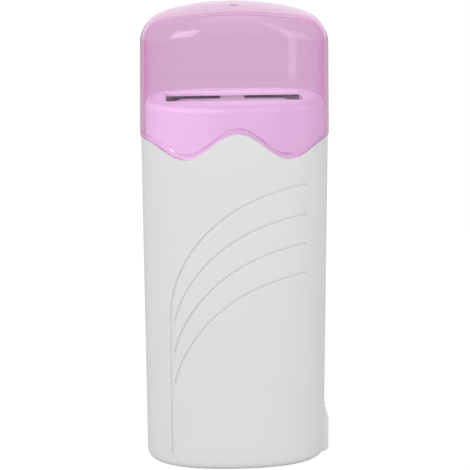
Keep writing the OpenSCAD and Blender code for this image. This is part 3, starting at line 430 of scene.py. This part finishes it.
# The skin that a mould gives: broad clouds of shade, a fine grain, and scuffs as long thin marks.
moulded_skin, takes, gives = skin_group(
    "moulded_skin",
    {"Colour": (1, 1, 1, 1), "Roughness": 0.4, "Grain": 2500.0, "Mottle": 0.02, "Scuffs": 0.3},
    {"Color": "Color", "Roughness": "Float", "Height": "Float"},
)
place = add(moulded_skin, "TexCoord").outputs["Object"]
clouds = noise(moulded_skin, place, 26.0, 3.0)
grain = noise(moulded_skin, place, takes["Grain"], 2.0)
leaning = add(moulded_skin, "Mapping", {"Vector": place, "Rotation": (0.5, 0.9, 0.4), "Scale": (1, 1, 0.06)})
lines = noise(moulded_skin, leaning.outputs[0], 700.0, 2.0)
marks = add(moulded_skin, "MapRange", {"Value": lines, "From Min": 0.66, "From Max": 0.74}).outputs["Result"]
worn = add(moulded_skin, "MapRange", {"Value": clouds, "From Min": 0.5, "From Max": 0.65}).outputs["Result"]
marks = sums(moulded_skin, marks, worn, operation="MULTIPLY")
marks = sums(moulded_skin, marks, takes["Scuffs"], operation="MULTIPLY")
shade = sums(moulded_skin, sums(moulded_skin, clouds, -0.5, operation="ADD"), takes["Mottle"], 1.0)
shade = sums(moulded_skin, marks, -0.05, shade)
moulded_skin.links.new(tinted(moulded_skin, takes["Colour"], shade), gives["Color"])
rough = sums(moulded_skin, sums(moulded_skin, clouds, -0.5, operation="ADD"), 0.14, takes["Roughness"])
moulded_skin.links.new(sums(moulded_skin, marks, 0.2, rough), gives["Roughness"])
moulded_skin.links.new(sums(moulded_skin, marks, -0.8, grain), gives["Height"])

# Wear that shows first where a surface turns sharply outwards, broken up by small clouds.
edge_wear, takes, gives = skin_group("edge_wear", {"From": 0.53, "To": 0.6}, {"Mask": "Float"})
sharpness = add(edge_wear, "NewGeometry").outputs["Pointiness"]
turning = add(edge_wear, "MapRange", {"Value": sharpness, "From Min": takes["From"], "From Max": takes["To"]})
broken = add(edge_wear, "TexNoise", {
    "Vector": add(edge_wear, "TexCoord").outputs["Object"], "Scale": 350.0, "Detail": 3.0,
}).outputs["Fac"]
edge_wear.links.new(
    sums(edge_wear, turning.outputs["Result"], broken, operation="MULTIPLY"), gives["Mask"]
)


def placed(tree, group, values):
    """A shared effect placed in a material with its own values."""
    node = tree.nodes.new("ShaderNodeGroup")
    node.node_tree = group
    for name, value in values.items():
        if isinstance(value, bpy.types.NodeSocket):
            tree.links.new(value, node.inputs[name])
        else:
            node.inputs[name].default_value = value
    return node.outputs


def moulding(name, colour, roughness, grain=2500.0, bump=0.01, mottle=0.03, scuffs=0.4, worn=0.0, **plain):
    """A moulded or extruded plastic or rubber: the moulded skin with its bump in millimetres, and
    with worn edges that are smoother and a little lighter. The other values go to the shader."""
    material = bpy.data.materials.new(name)
    material.use_nodes = True
    tree = material.node_tree
    shader = tree.nodes["Principled BSDF"]
    skin = placed(tree, moulded_skin, {
        "Colour": (*colour, 1), "Roughness": roughness, "Grain": grain, "Mottle": mottle, "Scuffs": scuffs,
    })
    shade, rough = skin["Color"], skin["Roughness"]
    if worn:
        edge = placed(tree, edge_wear, {})["Mask"]
        shade = tinted(tree, shade, sums(tree, edge, worn, 1.0))
        rough = sums(tree, edge, -0.15, rough)
    tree.links.new(shade, shader.inputs["Base Color"])
    tree.links.new(rough, shader.inputs["Roughness"])
    relief = add(tree, "Bump", {"Strength": 1.0, "Distance": bump * MM, "Height": skin["Height"]})
    tree.links.new(relief.outputs["Normal"], shader.inputs["Normal"])
    for label, value in plain.items():
        shader.inputs[label.replace("_", " ")].default_value = value
    return material


def finish(item, material):
    """Gives a piece or a CAD node its material."""
    if item.material_slots:
        item.material_slots[0].material = material
    else:
        item.data.materials.append(material)


satin_white = moulding("satin_white_moulding", (0.8, 0.8, 0.81), 0.42, worn=0.05)
front.data.materials.clear()
finish(front, satin_white)

# ---- Rear shell ---------------------------------------------------------------------------------
# The flatter back half of the body, moulded in the same white ABS. It has deep bores for the four
# case screws and a hole for the indicator, and closes on the front shell along the parting line.

LENS_Y, LENS_Z = 25.65, 16.0
SCREW_SEAT = 5.0

rear = form("rear_shell_skin", half_shell(1))
inside = [boss(s * SCREW_X, z, 1) for s in (-1, 1) for z in SCREW_Z]
inside += [rib(s * 10, 1, [(FLOOR_T - 0.5, 2), (28, 2)]) for s in (-1, 1)]
inside.append(rib(29.5, 1, [(FLOOR_T - 0.5, 0.05), (20.7, 0.05)]))
carve(rear, form("inside", *inside), "UNION")
carve(rear, form("pad", pad_half(1)), "UNION")
carve(rear, form("hole", inlet_hole()))
carve(rear, form("hole", turned([(0, 20), (2.8, 20), (2.8, 30), (0, 30)], (0, 0, LENS_Z))))
bore = [(0, -1), (1.5, -1), (1.5, SCREW_SEAT), (2.5, SCREW_SEAT), (2.5, 30), (0, 30)]
carve(rear, form("bores", *[turned(bore, (s * SCREW_X, 0, z)) for s in (-1, 1) for z in SCREW_Z]))
crisp(rear)
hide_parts("rear_shell")
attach(rear, "body")
rear.data.materials.clear()
finish(rear, satin_white)

# ---- Case screws --------------------------------------------------------------------------------
# Four zinc-plated pan-head screws, driven from behind into the front shell's bosses. A second,
# shorter pair holds the chamber frame under the neck; both kinds are rolled and headed from wire.


def thread(core, crest, start, end, pitch=1.1, columns=24):
    """A screw's shank along Z. At each turn the radius climbs from the core to the crest and back:
    core + (crest - core) times a sharpened cosine of (height / pitch - angle / full turn)."""
    t = np.linspace(0, 2 * np.pi, columns, endpoint=False)[None, :]
    z = np.linspace(start, end, int(abs(end - start) / pitch * 8) + 2)[:, None]
    swell = (0.5 + 0.5 * np.cos(2 * np.pi * (z / pitch) - t)) ** 3
    fade = np.clip((z - min(start, end)) / 1.2, 0, 1)
    r = (core + (crest - core) * swell) * (0.35 + 0.65 * fade)
    rows = np.stack([r * np.cos(t), r * np.sin(t), z + 0 * t], -1)
    return grid([0 * rows[0] + [0, 0, start], *rows, 0 * rows[0] + [0, 0, end]], around=True)


def screw(length, head_d, head_h, shank_d, columns=40):
    """A pan-head screw along Z with its head's seat at zero: the head is a disc with a rounded rim
    and a shallow crown, cut by a tapered cross. Returns its points and faces in millimetres."""
    t = np.radians(np.linspace(0, 90, 6))
    r, rim = head_d / 2, head_h * 0.55
    profile = [(0, 0), (r - 0.15, 0), (r, 0.15)]
    profile += [(r - rim * (1 - np.cos(a)), head_h - 0.12 - rim * (1 - np.sin(a))) for a in t]
    profile += [(r * 0.35, head_h - 0.03), (0, head_h)]
    head = form("head", turned(profile, axis="Z", columns=columns))
    half, blade, deep = head_d * 0.27, head_d * 0.062, head_h * 0.45
    for long_x, long_y in ((half, blade), (blade, half)):
        rows = [[(-x, -y, z), (x, -y, z), (x, y, z), (-x, y, z)] for x, y, z in (
            (long_x * 0.7, long_y * 0.7, deep), (long_x, long_y, head_h + 0.5))]
        carve(head, form("cross", grid(rows, around=True, ends=True)))
    mesh = head.data
    points = np.empty(len(mesh.vertices) * 3)
    mesh.vertices.foreach_get("co", points)
    faces = [list(face.vertices) for face in mesh.polygons]
    bpy.data.objects.remove(head)
    bpy.data.meshes.remove(mesh)
    return [(points.reshape(-1, 3) / MM, faces), thread(shank_d / 2 - 0.35, shank_d / 2, -length, 0.05)]


def set_at(parts, spot, axis="Z"):
    """Copies of a screw's parts at a spot, with the head towards an axis."""
    turn_to = {"Z": np.eye(3), "-Z": np.diag([1.0, -1, -1]), "Y": [[1.0, 0, 0], [0, 0, 1], [0, -1, 0]]}
    return [(points @ np.transpose(turn_to[axis]) + np.array(spot), faces) for points, faces in parts]


metal_skin, takes, gives = skin_group(
    "metal_skin",
    {
        "Vector": (0.0, 0.0, 0.0), "Colour": (0.6, 0.6, 0.6, 1), "Roughness": 0.3, "Tarnish": 0.2,
        "Lines": 900.0,
    },
    {"Color": "Color", "Roughness": "Float", "Height": "Float"},
)
# Rolled, drawn or plated metal: fine lines along the pattern's third axis over cloudy tarnish.
clouds = noise(metal_skin, add(metal_skin, "TexCoord").outputs["Object"], 160.0, 4.0)
lines = noise(metal_skin, takes["Vector"], takes["Lines"], 3.0)
uneven = sums(metal_skin, clouds, -0.5, operation="ADD")
fine = sums(metal_skin, lines, -0.5, operation="ADD")
lined = sums(metal_skin, fine, 0.12, sums(metal_skin, uneven, takes["Tarnish"], 1.0))
metal_skin.links.new(tinted(metal_skin, takes["Colour"], lined), gives["Color"])
rough = sums(metal_skin, fine, 0.15, sums(metal_skin, uneven, takes["Tarnish"], takes["Roughness"]))
metal_skin.links.new(rough, gives["Roughness"])
metal_skin.links.new(lines, gives["Height"])


def metal(name, colour, roughness, tarnish=0.2, lines=900.0, along=(1, 1, 0.04), bump=0.004, metallic=1.0):
    """A plated, rolled or drawn metal. The pattern is drawn out along one axis by its mapping."""
    material = bpy.data.materials.new(name)
    material.use_nodes = True
    tree = material.node_tree
    shader = tree.nodes["Principled BSDF"]
    drawn = add(tree, "Mapping", {"Vector": add(tree, "TexCoord").outputs["Object"], "Scale": along})
    skin = placed(tree, metal_skin, {
        "Vector": drawn.outputs["Vector"], "Colour": (*colour, 1), "Roughness": roughness,
        "Tarnish": tarnish, "Lines": lines,
    })
    tree.links.new(skin["Color"], shader.inputs["Base Color"])
    tree.links.new(skin["Roughness"], shader.inputs["Roughness"])
    relief = add(tree, "Bump", {"Strength": 1.0, "Distance": bump * MM, "Height": skin["Height"]})
    tree.links.new(relief.outputs["Normal"], shader.inputs["Normal"])
    shader.inputs["Metallic"].default_value = metallic
    return material


zinc = metal("zinc_plating", (0.62, 0.63, 0.66), 0.3, along=(1, 1, 1), lines=1500.0)

case_screw = screw(13.4, 4.6, 1.6, 2.6)
parts = [p for s in (-1, 1) for z in SCREW_Z for p in set_at(case_screw, (s * SCREW_X, SCREW_SEAT, z), "Y")]
case_screws = form("pan_head_case_screws", *parts)
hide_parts("case_screws")
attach(case_screws, "body")
finish(case_screws, zinc)

LUG_X, LUG_Y, LUG_Z, LUG_TOP = 19.0, -9.9, 136.0, 138.0
frame_screw = screw(7.3, 4.6, 1.6, 2.6)
parts = [p for s in (-1, 1) for p in set_at(frame_screw, (s * LUG_X, LUG_Y, LUG_Z), "-Z")]
frame_screws = form("pan_head_frame_screws", *parts)
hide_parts("frame_screws")
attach(frame_screws, "body")
finish(frame_screws, zinc)

# ---- Chamber frame ------------------------------------------------------------------------------
# The heat-proof frame that takes the cartridge, moulded in a glass-filled off-white plastic with a
# slightly gritty skin. It stands on the shells' ribs and hangs from the neck by two lugs.

finish(nodes["chamber_frame"], moulding(
    "gritty_heatproof_moulding", (0.9, 0.89, 0.87), 0.55, grain=1400.0, bump=0.02, mottle=0.06))

# ---- Heat plate ---------------------------------------------------------------------------------
# The rear wall of the chamber: a plate of rolled aluminium that slides between the frame's cheeks
# and carries the heater on its back. The rolling marks run up and down.

finish(nodes["heat_plate"], metal("rolled_aluminium", (0.95, 0.95, 0.96), 0.62, tarnish=0.12))

# ---- Heating element ----------------------------------------------------------------------------
# A fired ceramic heater between two sheets of mica, clamped to the plate by one bent strip of
# plated steel with a screw at each corner.

finish(nodes["ptc_element"], moulding(
    "fired_ceramic", (0.24, 0.24, 0.25), 0.6, grain=900.0, bump=0.03, mottle=0.25, scuffs=0.8))

mica = moulding("pressed_mica", (0.62, 0.5, 0.34), 0.35, grain=300.0, bump=0.02, mottle=0.3, Coat_Weight=0.3)
tree = mica.node_tree
place = add(tree, "TexCoord").outputs["Object"]
flakes = add(tree, "TexVoronoi", {"Vector": place, "Scale": 420.0}).outputs["Color"]
old = tree.nodes["Principled BSDF"].inputs["Base Color"].links[0].from_socket
flaked = add(tree, "Mix", {0: 0.25, 6: old, 7: flakes}, data_type="RGBA", blend_type="SOFT_LIGHT")
tree.links.new(flaked.outputs[2], tree.nodes["Principled BSDF"].inputs["Base Color"])
finish(nodes["mica_sheets"], mica)

strip_steel = metal("plated_strip_steel", (0.6, 0.61, 0.63), 0.34, along=(0.04, 1, 1), tarnish=0.25)
finish(nodes["heater_bracket"], strip_steel)
finish(nodes["heater_screws"], zinc)

# ---- Thermal fuse -------------------------------------------------------------------------------
# The fuse that cuts the mains if the plate overheats: a varnished metal case in a woven glass
# sleeve, held to the plate by a small clip under one screw.

finish(nodes["thermal_fuse"], metal("varnished_case", (0.72, 0.66, 0.42), 0.32, tarnish=0.3, metallic=0.6))
finish(nodes["fuse_clip"], strip_steel)

FUSE_Y, FUSE_Z = 19.4, 36.0
sleeve = moulding("woven_glass_sleeve", (0.88, 0.86, 0.8), 0.75, mottle=0.08)
tree = sleeve.node_tree
shader = tree.nodes["Principled BSDF"]
centred = add(tree, "Mapping", {
    "Vector": add(tree, "TexCoord").outputs["Object"], "Location": (0, -FUSE_Y * MM, -FUSE_Z * MM),
})
axes = add(tree, "SeparateXYZ", {0: centred.outputs["Vector"]}).outputs
around_it = sums(tree, axes["Z"], axes["Y"], operation="ARCTAN2")
strands = []
for lean in (1.0, -1.0):
    course = sums(tree, around_it, 8.0 * lean, sums(tree, axes["X"], 7000.0, operation="MULTIPLY"))
    strands.append(sums(tree, course, 0.0, operation="SINE"))
crossing = sums(tree, strands[0], strands[1], operation="MAXIMUM")
relief = add(tree, "Bump", {"Strength": 1.0, "Distance": 0.12 * MM, "Height": crossing})
tree.links.new(relief.outputs["Normal"], shader.inputs["Normal"])
# Painted shade: the low places of the weave, between the strands, are darkened down to 0.7 of the sleeve's
# colour.
deep = add(tree, "MapRange", {"Value": crossing, "From Min": -0.2, "To Min": 0.7}).outputs["Result"]
plain_colour = shader.inputs["Base Color"].links[0].from_socket
tree.links.new(tinted(tree, plain_colour, deep), shader.inputs["Base Color"])
finish(nodes["fuse_sleeve"], sleeve)

# ---- Wires --------------------------------------------------------------------------------------
# Silicone-covered wires from the inlet through the fuse to the element's tabs, where they end in
# crimped, tinned sleeves. The covers are extruded and slightly matt.

wire_colours = {
    "live_wire": (0.28, 0.13, 0.06), "neutral_wire": (0.08, 0.22, 0.5), "link_wire": (0.85, 0.84, 0.8),
    "lamp_wires": (0.6, 0.06, 0.05),
}
for name, colour in wire_colours.items():
    finish(nodes[name], moulding(name + "_silicone", colour, 0.5, grain=1800.0, bump=0.02, mottle=0.1))
tinned = metal("tinned_brass", (0.76, 0.72, 0.62), 0.34, tarnish=0.35)
finish(nodes["crimp_sleeves"], tinned)

# ---- Power inlet --------------------------------------------------------------------------------
# The inlet for the detachable lead: a black glass-filled block, held in both shells by its flange,
# with a waisted opening for the plug and two nickel-plated pins in its floor.

INLET_FACE, SOCKET_FLOOR, INLET_BACK = 35.6, 25.6, 22.6


def plug_row(grow, x, columns=96):
    """Outline of the waisted opening seen along X: at each angle, the farthest edge among two
    circles, one above the other, and the block between them."""
    t = np.linspace(0, 2 * np.pi, columns, endpoint=False)
    c, s = np.cos(t), np.sin(t)
    lobe, centre = 4.0 + grow, 3.4
    reaches = []
    for up in (centre, -centre):
        b = s * up
        root = b * b - centre ** 2 + lobe ** 2
        reaches.append(np.where(root > 0, b + np.sqrt(np.maximum(root, 0)), 0))
    block = np.minimum((3.2 + grow) / np.maximum(np.abs(c), 1e-9), centre / np.maximum(np.abs(s), 1e-9))
    r = np.maximum(np.maximum(*reaches), block)
    return np.stack([0 * t + x, r * c, INLET_Z + r * s], 1)


steps = [(INLET_BACK, -0.4), (INLET_BACK + 0.4, 0), (INLET_FACE - 0.4, 0)]
steps += [(INLET_FACE - 0.12, -0.12), (INLET_FACE, -0.4)]
block = form("inlet_block", grid(
    [round_rect_row(INLET_W, INLET_H, INLET_W / 3, grow, x) for x, grow in steps], around=True, ends=True))
flange = [[(x, y, z) for y, z in ((-6.5, 5.8), (6.5, 5.8), (6.5, 18.2), (-6.5, 18.2))] for x in (30.5, 31.8)]
carve(block, form("flange", grid(flange, around=True, ends=True)), "UNION")
mouth = ((SOCKET_FLOOR, 0), (INLET_FACE - 0.5, 0), (INLET_FACE - 0.15, 0.12), (INLET_FACE + 0.3, 0.6))
carve(block, form("mouth", grid([plug_row(grow, x) for x, grow in mouth], around=True, ends=True)))
holes = [turned([(0, 20), (1.05, 20), (1.05, 27), (0, 27)], (0, 0, INLET_Z + s * 4), "X") for s in (-1, 1)]
carve(block, form("holes", *holes))
crisp(block)
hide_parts("inlet_body")
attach(block, "body")
block.data.materials.clear()
finish(block, moulding(
    "black_grained_moulding", (0.035, 0.035, 0.038), 0.48, grain=1500.0, bump=0.03, mottle=0.15, worn=1.0))

dome = [(1.2 * np.cos(a), 33.4 + 1.2 * np.sin(a)) for a in np.radians(np.linspace(0, 90, 9))]
pin = [(0, 22.1), (1.0, 22.1), (1.0, 25.85), (1.2, 25.95), *dome]
tail = [[(x, -0.3, z), (x, 0.3, z), (x, 0.3, z + 3), (x, -0.3, z + 3)] for x, z in ((18.6, 0), (22.6, 0))]
parts = []
for s in (-1, 1):
    parts.append(turned(pin, (0, 0, INLET_Z + s * 4), "X"))
    points, faces = grid(tail, around=True, ends=True)
    parts.append((points + [0, 0, INLET_Z + s * 4 - 1.5], faces))
pins = form("inlet_pins", *parts)
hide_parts("inlet_contacts")
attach(pins, "body")
finish(pins, metal("nickel_plating", (0.74, 0.71, 0.64), 0.18, tarnish=0.12, along=(0.04, 1, 1)))

# ---- Indicator ----------------------------------------------------------------------------------
# A clear red lens pushed through the rear shell and kept by a spring ring, with a neon lamp and
# its series resistor behind it. The lens is moulded and polished; the lamp is blown glass.


def clear(name, colour, roughness, lets_through, density=0.0, absorbed=(1, 1, 1), ior=1.49):
    """A clear moulding or glass. Lamps shine through it: its shadow is a tinted transparency. With a
    density, the colour deepens with the depth of material that light crosses."""
    material = bpy.data.materials.new(name)
    material.use_nodes = True
    tree = material.node_tree
    shader = tree.nodes["Principled BSDF"]
    skin = placed(tree, moulded_skin, {
        "Colour": (*colour, 1), "Roughness": roughness, "Grain": 60.0, "Mottle": 0.02, "Scuffs": 0.25,
    })
    rough = add(tree, "MapRange", {
        "Value": skin["Roughness"], "From Min": roughness - 0.07, "From Max": roughness + 0.27,
        "To Min": roughness * 0.6, "To Max": roughness * 1.6 + 0.1,
    })
    tree.links.new(rough.outputs["Result"], shader.inputs["Roughness"])
    relief = add(tree, "Bump", {"Strength": 1.0, "Distance": 0.05 * MM, "Height": skin["Height"]})
    tree.links.new(relief.outputs["Normal"], shader.inputs["Normal"])
    tree.links.new(skin["Color"], shader.inputs["Base Color"])
    shader.inputs["IOR"].default_value = ior
    shader.inputs["Transmission Weight"].default_value = 1.0
    shadow = add(tree, "BsdfTransparent", {"Color": (*lets_through, 1)})
    rays = add(tree, "LightPath").outputs
    trapped = sums(tree, rays["Glossy Depth"], 2.5, operation="GREATER_THAN")
    mixed = add(tree, "MixShader", {
        "Fac": sums(tree, rays["Is Shadow Ray"], trapped, operation="MAXIMUM"),
        1: shader.outputs["BSDF"], 2: shadow.outputs["BSDF"],
    })
    end = tree.nodes["Material Output"]
    tree.links.new(mixed.outputs["Shader"], end.inputs["Surface"])
    if density:
        depth = add(tree, "VolumeAbsorption", {"Color": (*absorbed, 1), "Density": density})
        tree.links.new(depth.outputs["Volume"], end.inputs["Volume"])
    return material


HEAD, STEM, HOLLOW = 3.3, 2.7, 2.1
t = np.radians(np.linspace(0, 90, 10))
lens_profile = [(0, 1.2)] + [(HEAD * np.sin(a), 0.35 + 0.85 * np.cos(a)) for a in t[1:]]
lens_profile += [(HEAD, 0.25), (HEAD - 0.15, 0.1), (STEM, 0.1), (STEM, -7.2), (STEM - 0.2, -7.4)]
lens_profile += [(HOLLOW, -7.4), (HOLLOW, -1.3), (HOLLOW - 0.5, -0.85), (0, -0.8)]
lens = form("indicator_jewel", turned(lens_profile, (0, LENS_Y, LENS_Z), columns=64))
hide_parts("indicator_lens")
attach(lens, "body")
finish(lens, clear("clear_red", (0.85, 0.12, 0.09), 0.06, (0.8, 0.1, 0.08)))

finish(nodes["lens_ring"], metal("spring_steel", (0.55, 0.55, 0.57), 0.3, along=(1, 0.04, 1)))
finish(nodes["neon_lamp"], clear("lamp_glass", (0.97, 0.88, 0.82), 0.03, (0.95, 0.9, 0.88), ior=1.5))

finish(nodes["lamp_resistor"], moulding(
    "dipped_tan", (0.72, 0.58, 0.4), 0.45, grain=700.0, bump=0.03, mottle=0.12))

# ---- Neck ---------------------------------------------------------------------------------------
# The collar that closes the body's mouth, moulded in white ABS. The slot in its top takes the
# cartridge, its foot is held by the shells' inner rib, and two posts under it carry the frame.

NECK_TOP, DECK_UNDER = 145.3, 143.7
NECK_INSET, NECK_WALL, NECK_ROUND, SLOT_ROUND = 1.45, 1.4, 2.2, 0.6
SLOT_W, SLOT_D, SLOT_FRONT, SLOT_R = 52.8, 19.3, -5.0, 1.2


def slot_row(angle, grow, z):
    """A ring round the slot, with the same number of points as the neck's rings: the rounded
    rectangle is met by a ray from its middle at each angle."""
    centre = np.array([0, SLOT_FRONT + SLOT_D / 2])
    x, y = body_point(angle, NECK_INSET, BODY_H + 0 * angle)
    way = np.arctan2(y - centre[1], x)
    half_w, half_d, r = SLOT_W / 2 + grow, SLOT_D / 2 + grow, SLOT_R + grow
    c, s = np.cos(way), np.sin(way)
    reach = np.minimum(half_w / np.maximum(np.abs(c), 1e-9), half_d / np.maximum(np.abs(s), 1e-9))
    px, py = reach * c, reach * s
    in_corner = (np.abs(px) > half_w - r) & (np.abs(py) > half_d - r)
    cx, cy = np.sign(px) * (half_w - r), np.sign(py) * (half_d - r)
    b = c * cx + s * cy
    root = np.sqrt(np.maximum(b * b - cx * cx - cy * cy + r * r, 0))
    reach = np.where(in_corner, b + root, reach)
    return np.stack([reach * c, centre[1] + reach * s, z + 0 * c], 1)


def neck_form():
    """The collar as one closed skin: up its outside from the foot, over the rounded edge, across the
    top to the slot, down through the slot and down the inside."""
    angle = np.linspace(0, 2 * np.pi, 480, endpoint=False)
    quarter = np.radians(np.linspace(0, 90, 9))

    def side(inset, z):
        x, y = body_point(angle, inset, BODY_H + 0 * angle)
        return np.stack([x, y, z + 0 * angle], 1)

    waist, inner = WALL + 0.25, NECK_INSET + NECK_WALL
    rows = [body_row(angle, i, z) for i, z in (
        (NECK_INSET, 112.4), (NECK_INSET, 114.4), (waist, 114.6), (waist, 117.1), (NECK_INSET, 117.3))]
    rows += [side(NECK_INSET + NECK_ROUND * (1 - np.cos(t)), NECK_TOP - NECK_ROUND * (1 - np.sin(t)))
             for t in quarter]
    rows += [slot_row(angle, SLOT_ROUND * (1 - np.sin(t)), NECK_TOP - SLOT_ROUND * (1 - np.cos(t)))
             for t in quarter]
    rows += [slot_row(angle, 0, DECK_UNDER), side(inner, DECK_UNDER), body_row(angle, inner, 119.0)]
    rows += [body_row(angle, waist + NECK_WALL, 118.0), body_row(angle, waist + NECK_WALL, 112.4), rows[0]]
    return grid(rows, around=True)


neck = form("neck_collar_skin", neck_form())
lugs = [(s * LUG_X, LUG_Y, 0) for s in (-1, 1)]
post = [(0, LUG_TOP), (3, LUG_TOP), (3, DECK_UNDER + 0.5), (0, DECK_UNDER + 0.5)]
carve(neck, form("posts", *[turned(post, lug, "Z") for lug in lugs]), "UNION")
hole = [(0, 136), (1.35, 136), (1.35, DECK_UNDER), (0, DECK_UNDER)]
carve(neck, form("holes", *[turned(hole, lug, "Z") for lug in lugs]))
crisp(neck)
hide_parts("neck_collar")
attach(neck, "body")
neck.data.materials.clear()
# Painted light: the collar is the body's white ABS, but its colour is set lighter and bluer than the body's
# (0.93, 0.92, 0.97 against 0.8) so that it shows the extra brightness it has through the cap.
neck_white_painted_light = moulding("neck_white_painted_light_moulding", (0.93, 0.92, 0.97), 0.35, mottle=0.02)
finish(neck, neck_white_painted_light)

# ---- Cap ----------------------------------------------------------------------------------------
# The see-through cap, moulded in clear pink polystyrene and polished. Its wavy rim follows the
# shoulder, with a thicker band inside, and the mould's feed mark is a low disc on its crown.

CROWN, CAP_WALL, CAP_PROUD, CAP_ROUND, CAP_LEAN = 181.3, 1.15, 0.4, 8.0, 0.6
BAND, BAND_H, CAP_GAP = 0.4, 1.5, 0.3


def cap_form():
    """The cap as one closed skin, in rings from the middle of its inside down to the rim and up its
    outside. Its outline is the body's, drawn in with height; the top falls as x squared over 210
    and y squared over 500; the edge between them is a quarter circle."""
    angle = np.linspace(0, 2 * np.pi, 360, endpoint=False)
    rim = wave(body_point(angle, 0, BODY_H + 0 * angle)[0]) + CAP_GAP
    quarter = np.radians(np.linspace(0, 90, 25))

    def ring(inset, z):
        lean = CAP_LEAN * (z - BODY_H) / (CROWN - BODY_H)
        x, y = body_point(angle, inset + lean - CAP_PROUD, BODY_H + 0 * angle)
        return np.stack([x, y, z + 0 * angle], 1)

    def top_ring(inset, down):
        row = ring(inset, CROWN - CAP_ROUND + 0 * angle)
        row[:, 2] = CROWN - row[:, 0] ** 2 / 210 - row[:, 1] ** 2 / 500 - down
        return row

    def dome(skin):
        r = CAP_ROUND - skin
        rows = [top_ring(skin + r * (1 - np.cos(t)), skin + r * (1 - np.sin(t))) for t in quarter]
        inward = CAP_ROUND + (FRONT - 1.5 - CAP_ROUND) * np.linspace(0, 1, 15)[1:]
        return rows + [top_ring(inset, skin) for inset in inward]

    def wall(first, last, count):
        return [first + (last - first) * f for f in np.linspace(0, 1, count)[1:-1]]

    rounding = quarter[::6]
    inside = [ring(CAP_WALL + BAND - 0.2 * (1 - np.sin(t)), rim + 0.2 * (1 - np.cos(t))) for t in rounding]
    inside += [ring(CAP_WALL + BAND, rim + BAND_H), ring(CAP_WALL, rim + BAND_H + BAND)]
    skin = dome(CAP_WALL)
    inside += wall(inside[-1], skin[0], 12) + skin
    outside = [ring(0.25 * (1 - np.sin(t)), rim + 0.25 * (1 - np.cos(t))) for t in rounding]
    skin = dome(0)
    outside += wall(outside[-1], skin[0], 14) + skin
    for r, up in ((2.5, 0.0), (2.3, 0.02), (2.0, 0.09), (1.6, 0.21), (1.2, 0.3), (0.7, 0.345), (0, 0.35)):
        outside.append(np.stack([r * np.cos(angle), r * np.sin(angle), CROWN + up + 0 * angle], 1))
    rows = [0 * inside[-1] + [0, 0, CROWN - CAP_WALL]] + inside[::-1] + outside
    return grid(rows, around=True)


cap = form("clear_cap", cap_form())
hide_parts("cap")
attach(cap, "cap")
clear_pink = clear(
    "clear_pink", (0.9, 0.757, 0.878), 0.03, (1.0, 0.98, 1.0), density=125.0, absorbed=(0.536, 0.016, 0.455),
    ior=1.36)
# Seen edge on, the wall is deep and its pink is full.
tree = clear_pink.node_tree
shader = tree.nodes["Principled BSDF"]
edge_on = add(tree, "MapRange", {
    "Value": add(tree, "LayerWeight").outputs["Facing"], "From Min": 0.45, "From Max": 0.85,
})
pale = shader.inputs["Base Color"].links[0].from_socket
deepened = add(tree, "Mix", {
    0: edge_on.outputs["Result"], 6: pale, 7: (0.95, 0.45, 0.78, 1),
}, data_type="RGBA")
tree.links.new(deepened.outputs[2], shader.inputs["Base Color"])
finish(cap, clear_pink)
